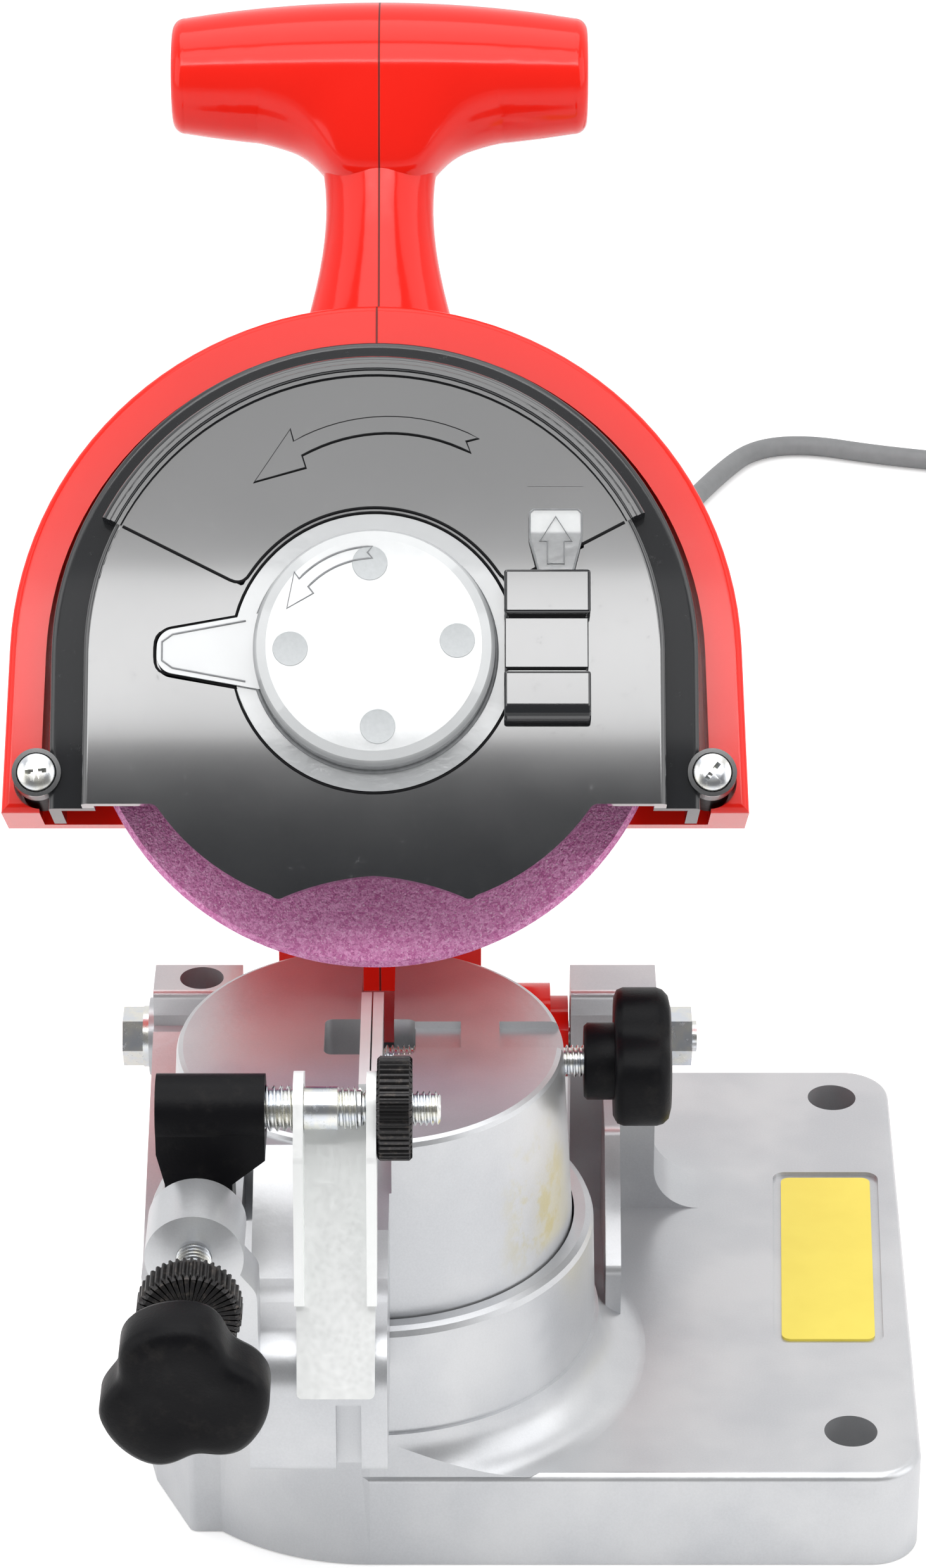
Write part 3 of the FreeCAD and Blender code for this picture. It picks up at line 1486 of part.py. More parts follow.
def stator_core():
    body = column(0, 0, stator_radius, stator_back, stator_front)
    body = body.common(head_block(-stator_flat, stator_flat, -stator_radius, stator_radius, stator_back, stator_front))
    body = body.cut(column(0, 0, stator_bore, stator_back - overrun, stator_front + overrun))
    for side in (-1, 1):
        y = side * (stator_bore + coil_tall / 2 - fit_gap)
        for edge in (-1, 1):
            x = edge * (stator_bore - coil_tall)
            slot = head_block(x - coil_tall / 2 - fit_gap, x + coil_tall / 2 + fit_gap,
                              y - coil_tall, y + coil_tall / 2, stator_back - overrun, stator_front + overrun)
            body = body.cut(slot.cut(column(0, 0, stator_bore, stator_back - 2 * overrun, 0)))
    return body


def field_coil(side):
    """Flat former-wound coil: two long limbs in the core slots joined by end turns."""
    inner = stator_bore - coil_tall * 1.5
    outer = stator_bore - coil_tall / 2
    low = stator_bore + face_gap * 2
    high = stator_bore + coil_tall - face_gap * 2
    over = coil_tall / 2
    frame = head_block(-outer, outer, low, high, stator_back - over, stator_front + over)
    frame = frame.cut(head_block(-inner, inner, low - overrun, high + overrun, stator_back - face_gap,
                                 stator_front + face_gap))
    if side < 0:
        frame = frame.mirror(Vector(0, 0, 0), Y_AXIS)
    return frame


def armature_core():
    body = column(0, 0, armature_radius, stator_back, stator_front)
    for index in range(armature_slots):
        slot = head_block(armature_radius - armature_slot_depth, armature_radius + overrun,
                          -armature_slot_width / 2, armature_slot_width / 2, stator_back - overrun,
                          stator_front + overrun)
        slot.rotate(Vector(0, 0, 0), Z_AXIS, full_turn * index / armature_slots)
        body = body.cut(slot)
    return body.cut(column(0, 0, shaft_radius + fit_gap, stator_back - overrun, stator_front + overrun))


def armature_winding(low, high):
    edge = winding_thick / 3
    body = spin(round_profile(winding_radius, low, high, edge, edge))
    return body.cut(column(0, 0, shaft_radius + fit_gap, low - overrun, high + overrun))


def commutator():
    return tube(commutator_radius, shaft_radius + fit_gap, commutator_back, commutator_front)


def brush_holder(side):
    half = brush_holder_side / 2
    outer = math.sqrt((barrel_rear_radius - shell_wall) ** 2 - half ** 2) - slide_gap
    body = head_block(brush_holder_inner, outer, -half, half, brush_z - half, brush_z + half)
    hole = head_block(brush_holder_inner - overrun, outer - overrun, -brush_side / 2 - fit_gap,
                      brush_side / 2 + fit_gap, brush_z - brush_side / 2 - fit_gap, brush_z + brush_side / 2 + fit_gap)
    body = body.cut(hole)
    if side < 0:
        body = body.mirror(Vector(0, 0, 0), X_AXIS)
    return body


def carbon_brush(side):
    half = brush_side / 2
    body = head_block(commutator_radius + brush_gap, brush_holder_inner + brush_side, -half, half,
                      brush_z - half, brush_z + half)
    if side < 0:
        body = body.mirror(Vector(0, 0, 0), X_AXIS)
    return body


# Switch and gland

def switch_body():
    top = switch_top()
    half = switch_width / 2
    body = head_block(-half, half, top - switch_depth / 2, top + switch_lip, switch_z - switch_length, switch_z)
    well = head_block(-rocker_width / 2 - slide_gap, rocker_width / 2 + slide_gap, top - switch_depth / 4,
                      top + switch_lip + overrun, switch_z - (switch_length + rocker_length) / 2 - slide_gap,
                      switch_z - (switch_length - rocker_length) / 2 + slide_gap)
    return body.cut(well).cut(rocker_pin(fit_gap))


def rocker_pin(grow):
    """Cross pin of the rocker, or its hole when it is grown by a gap."""
    reach = rocker_width / 2 + slide_gap + rocker_pin_reach + grow * 2
    return rod_x(switch_top(), switch_z - switch_length / 2, rocker_pin_radius + grow, -reach, reach)


def switch_rocker():
    """Rocker on a cross pin, tipped to its off position."""
    top = switch_top()
    half = rocker_length / 2
    mid = switch_z - switch_length / 2
    low = top - switch_depth / 4 + slide_gap * 3
    body = side_solid([
        (low + switch_lip, mid - half * rocker_foot_share, 0), (low, mid, 0),
        (low + switch_lip, mid + half * rocker_foot_share, 0),
        (top + switch_lip + rocker_rise / 2, mid + half * rocker_top_share, 0),
        (top + switch_lip, mid, 0),
        (top + switch_lip + rocker_rise / 2, mid - half * rocker_top_share, 0),
    ], -rocker_width / 2, rocker_width / 2)
    body.rotate(Vector(0, top, mid), X_AXIS, rocker_tilt)
    return join(body, rocker_pin(0))


def cord_gland():
    """Strain relief: neck in the housing, collar outside and a tapered ribbed boot."""
    inside = barrel_rear + shell_wall
    neck_part = column(0, gland_y, gland_neck, barrel_rear, inside + gland_neck_length)
    collar = column(0, gland_y, gland_collar, barrel_rear - overrun, barrel_rear)
    boot = Part.makeCone(gland_tip_radius, gland_radius, gland_length - overrun,
                         Vector(0, gland_y, barrel_rear - gland_length), Z_AXIS)
    return join(neck_part, collar, boot)


# Cord: free stretch, coil, plug

def head_point(x, y, z):
    return head_frame.multVec(Vector(x, y, z))


cord_start = head_point(0, gland_y, barrel_rear - gland_length)
cord_out = head_frame.Rotation.multVec(Vector(0, 0, -1))
coil_entry = Vector(222, 414, cord_radius)
coil_heading = math.radians(-27.8)
cord_points = [
    cord_start,
    cord_start + cord_out * cord_out_length,
    Vector(2.5, 156.0, 25.6),
    Vector(4.8, 175.0, 13.6),
    Vector(7.5, 197.0, 6.4),
    Vector(12.5, 223.0, 3.2),
    Vector(19.0, 253.0, cord_radius),
    Vector(30.0, 290.0, cord_radius),
    Vector(44.0, 334.0, cord_radius),
    Vector(60.0, 377.0, cord_radius),
    Vector(75.0, 414.0, cord_radius),
    Vector(86.5, 438.5, cord_radius),
    Vector(95.5, 453.0, cord_radius),
    Vector(110.0, 456.5, cord_radius),
    Vector(129.0, 449.0, cord_radius),
    Vector(156.0, 442.5, cord_radius),
    Vector(191.04, 430.32, cord_radius),
    coil_entry,
]


def arc_route(points):
    """Wire of straight runs joined by tangent arcs, each as large as its two runs allow."""
    edges = []
    radii = []
    last = points[0]
    for index in range(1, len(points) - 1):
        here = points[index]
        back = points[index - 1] - here
        on = points[index + 1] - here
        shorter = min(back.Length, on.Length)
        back.normalize()
        on.normalize()
        turn = math.pi - back.getAngle(on)
        reach = bend_reach_share * shorter
        radius = reach / math.tan(turn / 2)
        radii.append(radius)
        start = here + back * reach
        end = here + on * reach
        inward = (back + on).normalize()
        middle = here + inward * (radius / math.cos(turn / 2) - radius)
        edges.append(Part.LineSegment(last, start).toShape())
        edges.append(Part.Arc(start, middle, end).toShape())
        last = end
    edges.append(Part.LineSegment(last, points[-1]).toShape())
    return Part.Wire(edges), radii


def pipe(wire, start, heading):
    section = Part.Wire(Part.makeCircle(cord_radius, start, heading))
    body = wire.makePipeShell([section], True, False)
    return body


def cord():
    wire, radii = arc_route(cord_points)
    print("cord length", round(wire.Length, 1), "radii", [round(r, 1) for r in radii])
    body = pipe(wire, cord_points[0], cord_points[1] - cord_points[0])
    print("cord volume share", round(body.Volume / (math.pi * cord_radius ** 2 * wire.Length), 4))
    return body


def coil_stations():
    """Points and headings of the coil at each quarter turn: in, up one layer, and out."""
    pitch = 2 * cord_radius + cord_gap
    outer = coil_inner_radius + pitch * coil_turns_in + coil_climb_step
    start_angle = coil_heading + math.pi / 2
    centre = coil_entry - Vector(outer * math.cos(start_angle), outer * math.sin(start_angle), 0)
    stations = []

    def station(turned, radius, height, slope):
        angle = start_angle - 2 * math.pi * turned
        spot = centre + Vector(radius * math.cos(angle), radius * math.sin(angle), height)
        around = Vector(math.sin(angle), -math.cos(angle), 0)
        outwards = Vector(math.cos(angle), math.sin(angle), 0)
        heading = around + outwards * (slope / (2 * math.pi * radius))
        stations.append((spot, heading.normalize()))

    steps_in = int(round(4 * coil_turns_in))
    for index in range(steps_in + 1):
        drift = 0 if index in (0, steps_in) else -pitch
        last_turn = max(index / 4 + 1 - coil_turns_in, 0)
        station(index / 4, outer - pitch * index / 4 - coil_climb_step * last_turn, 0, drift)
    turned = coil_turns_in + 0.5
    steps_out = int(round(4 * coil_turns_out))
    for index in range(steps_out + 1):
        drift = 0 if index in (0, steps_out) else pitch
        first_turn = min(index / 4, 1)
        station(turned + index / 4, coil_inner_radius + pitch * index / 4 + coil_climb_step * first_turn, pitch, drift)
    end, heading = stations[-1]
    return stations, end + heading * coil_tail, heading


def biarc(start, start_way, end, end_way):
    """Two arcs that leave the start and reach the end in the given headings."""
    across = end - start
    both = start_way + end_way
    spare = 2 * (1 - start_way.dot(end_way))
    middle_term = across.dot(both)
    if abs(spare) < straight_limit:
        reach = across.dot(across) / (4 * across.dot(end_way))
    else:
        root = math.sqrt(middle_term ** 2 + spare * across.dot(across))
        reach = (root - middle_term) / spare
    joint = (start + end + (start_way - end_way) * reach) / 2
    return [arc_from(start, start_way, joint), arc_to(joint, end, end_way)]


def arc_from(start, way, end):
    chord = end - start
    length = chord.Length
    straight = chord * (1 / length)
    angle = way.getAngle(straight)
    side = (straight - way * way.dot(straight))
    if side.Length < straight_limit:
        return Part.LineSegment(start, end).toShape()
    bow = (way - straight * way.dot(straight)).normalize()
    middle = (start + end) / 2 + bow * (length / 2 * math.tan(angle / 2))
    return Part.Arc(start, middle, end).toShape()


def arc_to(start, end, way):
    edge = arc_from(end, way * -1, start)
    points = edge.discretize(3)
    if points[0].distanceToPoint(end) < points[-1].distanceToPoint(end):
        points = points[::-1]
    if isinstance(edge.Curve, Part.Line) or (points[1] - (start + end) / 2).Length < straight_limit:
        return Part.LineSegment(start, end).toShape()
    return Part.Arc(start, points[1], end).toShape()


def coil_wire():
    stations, tail, heading = coil_stations()
    edges = []
    for index in range(len(stations) - 1):
        start, start_way = stations[index]
        end, end_way = stations[index + 1]
        edges += biarc(start, start_way, end, end_way)
    edges.append(Part.LineSegment(stations[-1][0], tail).toShape())
    return Part.Wire(edges), stations


def least_gap(wire):
    """Smallest distance from the coil's surface to itself, on points along it."""
    points = wire.discretize(Distance=cord_radius / 2)
    step = wire.Length / (len(points) - 1)
    skip = int(4 * cord_radius * 2 / step)
    least = wire.Length
    for index in range(len(points)):
        for other in range(index + skip, len(points)):
            gap = points[index].distanceToPoint(points[other])
            if gap < least:
                least = gap
    return least - 2 * cord_radius


def cord_coil():
    wire, stations = coil_wire()
    print("coil length", round(wire.Length, 1), "least gap", round(least_gap(wire), 3))
    body = pipe(wire, stations[0][0], stations[0][1])
    print("coil volume share", round(body.Volume / (math.pi * cord_radius ** 2 * wire.Length), 4))
    return body


def plug():
    """Flat two pin plug: waisted neck and a wide front, lying on the bench."""
    stations, tail, heading = coil_stations()
    half = plug_width / 2
    thick = plug_thick / 2
    place, wide, tall = plug_neck_shares

    def section(along_x, half_wide, half_tall):
        return rounded_section(along_x, half_wide, half_tall, min(half_wide, half_tall) * plug_section_share)

    wires = [
        section(0, plug_neck_radius, plug_neck_radius),
        section(plug_length * place, plug_neck_radius * wide, plug_neck_radius * tall),
        section(plug_length - plug_front_length, half * plug_back_share, thick),
        section(plug_length, half, thick),
    ]
    body = Part.makeLoft(wires, True, True)
    pins = []
    for side in (-1, 1):
        pins.append(Part.makeCylinder(pin_radius, pin_length + overrun,
                                      Vector(plug_length - overrun, side * pin_spacing / 2, 0), X_AXIS))
    body = join(body, *pins)
    angle = math.degrees(math.atan2(heading.y, heading.x))
    body.Placement = Placement(tail, Rotation(Z_AXIS, angle))
    return body


def rounded_section(place, half_wide, half_tall, radius):
    """Closed wire across X with half width along Y and half height along Z."""
    wire = rounded_wire([
        (-half_wide, -half_tall, radius), (half_wide, -half_tall, radius),
        (half_wide, half_tall, radius), (-half_wide, half_tall, radius),
    ])
    wire.Placement = Placement(Vector(place, 0, 0), Rotation(Vector(1, 1, 1), full_turn / 3))
    return wire


def save(name, *solids):
    shape = solids[0].copy() if len(solids) == 1 else Part.makeCompound(list(solids))
    shape.Placement = Placement(Vector(-footprint_x, -footprint_y, 0), Rotation()).multiply(shape.Placement)
    count = len(shape.Solids)
    if not shape.isValid() or count != len(solids):
        print("look at", name, "solids", count, "valid", shape.isValid())
    shape.exportStep("parts/" + name + ".step")


def main():
    os.makedirs("parts", exist_ok=True)
    save("base_casting", base_casting())
    save("label_plate", label_plate())
    save("hinge_bolt", hinge_bolt())
    save("hinge_washers", hinge_washer(left_lug_outer - lug_boss_thick - washer_thick),
         hinge_washer(right_lug_outer + lug_boss_thick))
    save("hinge_nut", hinge_nut())
    save("return_spring", return_spring())
    save("lock_washer", lock_washer())
    save("depth_stop_screw", depth_stop_screw())
    save("turret_casting", turret_casting())
    save("fixed_clamp_plate", clamp_plate(jaw_left))
    save("moving_clamp_plate", clamp_plate(jaw_left + jaw_thick + jaw_gap))
    save("clamp_screw", clamp_screw())
    save("clamp_knob", clamp_knob())
    save("turret_stud", turret_stud())
    save("angle_lock_knob", angle_lock_knob())
    save("stop_holder", stop_holder())
    save("stop_rod", stop_rod())
    save("rod_thumb_nut", rod_thumb_nut())
    save("adjuster_screw", adjuster_screw())
    save("adjuster_knob", adjuster_knob())
    save("adjuster_lock_nut", adjuster_lock_nut())
    save("chain_stop_flap", chain_stop_flap())
    left, right = housing_halves()
    save("housing_left", left)
    save("housing_right", right)
    save("hinge_sleeve", hinge_sleeve())
    save("housing_screws", *[to_head(s) for s in housing_screws()])
    save("wheel_guard", to_head(wheel_guard()))
    save("guard_screws", *[to_head(guard_screw(side)) for side in (-1, 1)])
    save("guard_sleeves", *[to_head(guard_sleeve(side)) for side in (-1, 1)])
    save("spindle_cover", to_head(spindle_cover()))
    save("cover_latch", to_head(cover_latch()))
    save("latch_tab", to_head(latch_tab()))
    save("grinding_wheel", to_head(grinding_wheel()))
    save("inner_flange", to_head(inner_flange()))
    save("outer_flange", to_head(outer_flange()))
    save("wheel_nut", to_head(wheel_nut()))
    save("motor_shaft", to_head(motor_shaft()))
    save("front_bearing", to_head(ball_bearing(bearing_radius, shaft_radius, bearing_front - bearing_thick,
                                               bearing_thick)))
    save("rear_bearing", to_head(ball_bearing(rear_bearing_radius, shaft_rear_radius,
                                              rear_bearing_front - rear_bearing_thick, rear_bearing_thick)))
    save("cooling_fan", to_head(cooling_fan()))
    save("stator_core", to_head(stator_core()))
    save("field_coils", *[to_head(field_coil(side)) for side in (-1, 1)])
    save("armature_core", to_head(armature_core()))
    save("armature_windings", to_head(armature_winding(stator_front + fit_gap, stator_front + winding_thick)),
         to_head(armature_winding(stator_back - winding_thick, stator_back - fit_gap)))
    save("commutator", to_head(commutator()))
    save("brush_holders", *[to_head(brush_holder(side)) for side in (-1, 1)])
    save("carbon_brushes", *[to_head(carbon_brush(side)) for side in (-1, 1)])
    save("switch_body", to_head(switch_body()))
    save("switch_rocker", to_head(switch_rocker()))
    save("cord_gland", to_head(cord_gland()))
    save("cord", cord())
    save("cord_coil", cord_coil())
    save("plug", plug())


main()
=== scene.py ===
import json
import math
import bmesh
import bpy
from mathutils import Matrix, Vector


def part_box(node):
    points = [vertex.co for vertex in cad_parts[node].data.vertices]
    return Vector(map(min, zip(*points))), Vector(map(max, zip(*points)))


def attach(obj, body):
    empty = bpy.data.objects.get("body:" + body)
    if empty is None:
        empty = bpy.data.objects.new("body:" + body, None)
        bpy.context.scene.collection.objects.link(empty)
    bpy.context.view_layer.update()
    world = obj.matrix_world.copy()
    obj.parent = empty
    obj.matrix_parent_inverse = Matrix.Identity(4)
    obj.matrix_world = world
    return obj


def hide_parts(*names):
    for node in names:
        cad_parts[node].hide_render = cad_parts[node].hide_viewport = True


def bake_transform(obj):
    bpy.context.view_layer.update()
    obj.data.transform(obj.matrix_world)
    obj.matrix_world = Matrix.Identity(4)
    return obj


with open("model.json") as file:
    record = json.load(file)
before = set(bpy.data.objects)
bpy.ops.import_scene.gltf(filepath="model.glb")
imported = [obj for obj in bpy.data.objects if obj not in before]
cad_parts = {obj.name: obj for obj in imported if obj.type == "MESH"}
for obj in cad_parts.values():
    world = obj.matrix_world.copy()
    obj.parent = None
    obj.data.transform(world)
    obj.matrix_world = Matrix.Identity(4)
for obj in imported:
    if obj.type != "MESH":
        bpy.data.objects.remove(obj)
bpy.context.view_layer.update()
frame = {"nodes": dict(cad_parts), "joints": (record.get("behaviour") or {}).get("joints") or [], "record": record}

# The saw chain sharpener in its photographed state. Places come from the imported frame, sizes are in mm.
MM = 0.001
TURN = 2 * math.pi
joints = {joint["name"]: joint for joint in frame["joints"]}


def pivot(name):
    """A point on the axis of a joint, in metres."""
    return Vector(joints[name]["pos_m"])


wheel_centre = pivot("spindle_turn")
wheel_axis = Vector(joints["spindle_turn"]["axis"]).normalized()
swivel = Vector((pivot("turret_swivel").x, pivot("turret_swivel").y, 0))
rod_axis = pivot("stop_flap_swing")
adjuster_axis = pivot("adjuster_turn")
clamp_axis = pivot("clamp_turn")
depth_axis = pivot("depth_screw_turn")
right, back, up = Vector((1, 0, 0)), Vector((0, 1, 0)), Vector((0, 0, 1))
up_head = wheel_axis.cross(right)


def frame_of(origin, x_way, y_way, z_way):
    """Matrix that sets a shape drawn in mm about zero at the origin, along the three ways."""
    turned = Matrix((x_way, y_way, z_way)).transposed().to_4x4()
    return Matrix.Translation(origin) @ turned @ Matrix.Scale(MM, 4)


HEAD = frame_of(wheel_centre, right, up_head, wheel_axis)


# Materials

class Wire:
    """A number or a vector on its way through a material, which can stand in sums."""

    def __init__(self, nodes, socket):
        self.nodes = nodes
        self.socket = socket

    def _math(self, operation, first, second):
        """A Math node on two values or wires."""
        return self.nodes.node("ShaderNodeMath", {"operation": operation}, {0: first, 1: second})

    def __add__(self, other):
        return self._math("ADD", self, other)

    __radd__ = __add__

    def __sub__(self, other):
        return self._math("SUBTRACT", self, other)

    def __rsub__(self, other):
        return self._math("SUBTRACT", other, self)

    def __mul__(self, other):
        return self._math("MULTIPLY", self, other)

    __rmul__ = __mul__

    def size(self):
        """The value without its sign."""
        return self._math("ABSOLUTE", self, 0)

    def root(self):
        """The square root of the value."""
        return self._math("SQRT", self, 0)

    def wave(self):
        """The sine of the value."""
        return self._math("SINE", self, 0)

    def larger(self, other):
        """The larger of the value and another."""
        return self._math("MAXIMUM", self, other)


class Nodes:
    """A tree of shader nodes, to which nodes are added by their values and wires."""

    def __init__(self, tree):
        self.tree = tree

    def join(self, socket, value):
        """Gives a socket a constant or a wire."""
        if isinstance(value, Wire):
            self.tree.links.new(value.socket, socket)
        else:
            socket.default_value = value

    def node(self, kind, settings=None, inputs=None, out=0):
        """Any node: its settings first, then the values or wires of its sockets."""
        made = self.tree.nodes.new(kind)
        for key, value in (settings or {}).items():
            setattr(made, key, value)
        for key, value in (inputs or {}).items():
            self.join(made.inputs[key], value)
        return Wire(self, made.outputs[out])

    def seen_directly(self):
        """1 where the camera looks straight at the thing or through something clear, else 0."""
        direct = self.node("ShaderNodeLightPath", out="Is Camera Ray")
        return direct.larger(self.node("ShaderNodeLightPath", out="Is Transmission Ray"))


class Finish(Nodes):
    """One material: the shader with its constants, and what changes over the surface."""

    def __init__(self, name, colour, roughness, metallic=0.0, **constants):
        self.material = bpy.data.materials.new(name)
        self.material.use_nodes = True
        super().__init__(self.material.node_tree)
        self.shader = self.tree.nodes["Principled BSDF"]
        self.material.diffuse_color = (*colour, 1)
        self.set("Base Color", (*colour, 1))
        self.set("Roughness", roughness)
        self.set("Metallic", metallic)
        for socket, value in constants.items():
            self.set(socket.replace("_", " "), value)

    def set(self, socket, value):
        """Sets a socket of the shader, to a constant or to a wire."""
        self.join(self.shader.inputs[socket], value)

    def place(self):
        """The place on the surface, as Object coordinates."""
        return self.node("ShaderNodeTexCoord", out="Object")

    def along(self, origin, way):
        """How far the surface lies from the origin along the way, in mm."""
        offset = self.node("ShaderNodeVectorMath", {"operation": "SUBTRACT"}, {0: self.place(), 1: origin})
        return self.node("ShaderNodeVectorMath", {"operation": "DOT_PRODUCT"}, {0: offset, 1: way / MM}, "Value")

    def noise(self, pitch, detail=3.0, roughness=0.5, stretch=None):
        """Soft noise from 0 to 1, with grains about pitch mm apart, drawn out along an axis by stretch."""
        place = self.place()
        if stretch is not None:
            place = self.node("ShaderNodeMapping", None, {"Vector": place, "Scale": stretch})
        return self.node("ShaderNodeTexNoise", None, {
            "Vector": place, "Scale": 1 / (pitch * MM), "Detail": detail, "Roughness": roughness}, "Fac")

    def grains(self, pitch, out="Distance"):
        """Cells about pitch mm apart: how far their middles are, or a colour for each."""
        return self.node("ShaderNodeTexVoronoi", None, {
            "Vector": self.place(), "Scale": 1 / (pitch * MM)}, out)

    def smooth(self, value, low, high, to_low=0.0, to_high=1.0):
        """Runs from to_low to to_high while the value goes from low to high."""
        return self.node("ShaderNodeMapRange", {"interpolation_type": "SMOOTHSTEP"}, {
            "Value": value, "From Min": low, "From Max": high, "To Min": to_low, "To Max": to_high}, "Result")

    def mix(self, share, first, second):
        """Colour between two colours, which are wires or three numbers."""
        first, second = (tone if isinstance(tone, Wire) else (*tone, 1) for tone in (first, second))
        return self.node("ShaderNodeMix", {"data_type": "RGBA"}, {0: share, 6: first, 7: second}, 2)

    def bump(self, height, depth, strength=1.0):
        """Relief of the height times the depth in mm."""
        self.set("Normal", self.node("ShaderNodeBump", None, {
            "Height": height, "Distance": depth * MM, "Strength": strength}, "Normal"))


def silver_paint():
    """Silver paint on cast metal: fine flake, light orange peel, rubbed places and a yellow stain."""
    finish = Finish("silver_paint", (0.47, 0.48, 0.50), 0.3, 0.72, Specular_IOR_Level=0.6)
    flake = finish.noise(0.35, 2.0)
    cloud = finish.noise(26.0, 3.0)
    scuff = finish.smooth(finish.noise(5.0, 6.0, 0.7, (1.0, 1.0, 0.12)), 0.60, 0.74)
    tone = finish.mix(finish.smooth(cloud, 0.35, 0.7), (0.49, 0.50, 0.52), (0.60, 0.605, 0.615))
    tone = finish.mix(flake * 0.35, tone, (0.74, 0.75, 0.77))
    height = finish.along(swivel, up)
    flank = finish.smooth(finish.along(swivel, right), 22, 30) * finish.smooth(finish.along(swivel, back), -6, -16)
    band = finish.smooth(height, 50, 58) * finish.smooth(height, 82, 70)
    stain = flank * band * finish.smooth(finish.noise(7.0, 5.0, 0.65), 0.46, 0.62) * 0.42
    tone = finish.mix(stain, tone, (0.52, 0.44, 0.10))
    tone = finish.mix(scuff * 0.25, tone, (0.60, 0.60, 0.61))
    finish.set("Base Color", tone)
    finish.set("Roughness", 0.27 + 0.12 * cloud + 0.10 * scuff)
    finish.bump(finish.noise(1.6, 2.0) * 0.7 + flake * 0.15, 0.035)
    return finish.material


def red_plastic():
    """Glossy red moulded plastic, with the dark line where the two shells meet."""
    finish = Finish("red_plastic", (0.78, 0.012, 0.006), 0.14, Coat_Weight=0.12, Coat_Roughness=0.05,
                    Specular_IOR_Level=0.28)
    seam = finish.smooth(finish.along(wheel_centre, right).size(), 0.26, 0.10)
    cloud = finish.noise(30.0, 2.0)
    tone = finish.mix(cloud, (0.72, 0.010, 0.005), (0.81, 0.017, 0.008))
    finish.set("Base Color", finish.mix(seam * 0.9, tone, (0.06, 0.003, 0.002)))
    finish.set("Roughness", 0.11 + 0.05 * cloud + 0.3 * seam)
    finish.bump(finish.noise(9.0, 1.0) * 0.5 - seam, 0.06)
    return finish.material


def black_gloss():
    """Glossy black moulding with faint scuffs and dust. The low rim round the guard's face leans down."""
    finish = Finish("black_gloss", (0.014, 0.015, 0.018), 0.14, Coat_Weight=0.9, Coat_Roughness=0.05,
                    Specular_IOR_Level=0.75)
    scuff = finish.smooth(finish.noise(2.2, 6.0, 0.75), 0.60, 0.80)
    cloud = finish.noise(22.0, 3.0)
    upwards = finish.along(wheel_centre, up_head)
    rim = finish.smooth(finish.along(wheel_centre, wheel_axis), 19.2, 18.9)
    finish.set("Base Color", finish.mix(scuff * 0.5, (0.006, 0.007, 0.009), (0.026, 0.027, 0.03)))
    finish.set("Roughness", 0.07 + 0.05 * cloud + 0.16 * scuff + 0.15 * rim)
    finish.set("Coat Weight", 0.9 - 0.8 * rim)
    finish.bump(finish.noise(24.0, 0.0) * 0.05 + rim * upwards * 0.16, 1.0)
    return finish.material


def black_plastic():
    """Satin black moulded plastic with a fine grain and worn, greyer high spots."""
    finish = Finish("black_plastic", (0.006, 0.006, 0.007), 0.42, Specular_IOR_Level=0.12)
    grain = finish.noise(0.45, 3.0)
    wear = finish.smooth(finish.noise(6.0, 5.0, 0.7), 0.50, 0.75)
    finish.set("Base Color", finish.mix(wear, (0.004, 0.004, 0.005), (0.012, 0.011, 0.011)))
    finish.set("Roughness", 0.36 + 0.12 * grain + 0.08 * wear)
    finish.bump(grain, 0.035)
    return finish.material


def zinc_steel():
    """Bright zinc plate: pale, with faint blue and straw tints and fine rub marks."""
    finish = Finish("zinc_steel", (0.74, 0.75, 0.76), 0.24, 1.0)
    cloud = finish.noise(4.0, 4.0, 0.6)
    tint = finish.mix(finish.smooth(cloud, 0.35, 0.65), (0.70, 0.73, 0.78), (0.80, 0.79, 0.73))
    rub = finish.smooth(finish.noise(1.2, 4.0, 0.7, (1.0, 0.2, 1.0)), 0.55, 0.72)
    finish.set("Base Color", finish.mix(rub * 0.35, tint, (0.62, 0.63, 0.64)))
    finish.set("Roughness", 0.17 + 0.16 * cloud + 0.12 * rub)
    finish.bump(cloud * 0.6 + rub * 0.4, 0.012)
    return finish.material


def zinc_sheet():
    """Zinc plated sheet: paler and softer than the screws, with crystal edges."""
    finish = Finish("zinc_sheet", (0.90, 0.91, 0.90), 0.38, 0.45)
    spangle = finish.grains(1.1)
    cloud = finish.noise(8.0, 3.0)
    finish.set("Base Color", finish.mix(cloud, (0.92, 0.94, 0.93), (0.98, 0.985, 0.98)))
    finish.set("Roughness", 0.32 + 0.14 * spangle + 0.08 * cloud)
    finish.bump(spangle, 0.02, 0.6)
    return finish.material


def machined_steel():
    """Bare turned steel with fine rings."""
    finish = Finish("machined_steel", (0.60, 0.60, 0.60), 0.28, 1.0)
    rings = finish.noise(0.5, 3.0)
    finish.set("Base Color", finish.mix(finish.noise(5.0), (0.52, 0.52, 0.53), (0.68, 0.68, 0.67)))
    finish.set("Roughness", 0.22 + 0.16 * rings)
    finish.bump(rings, 0.01)
    return finish.material


def black_steel():
    """Blackened steel of the knurled nuts, rubbed brown and bright on the ridges."""
    finish = Finish("black_steel", (0.05, 0.048, 0.047), 0.38, 0.7)
    rub = finish.smooth(finish.noise(1.5, 4.0, 0.7), 0.50, 0.75)
    finish.set("Base Color", finish.mix(rub, (0.032, 0.031, 0.032), (0.11, 0.095, 0.085)))
    finish.set("Roughness", 0.34 + 0.16 * rub)
    finish.bump(finish.noise(0.4), 0.02)
    return finish.material


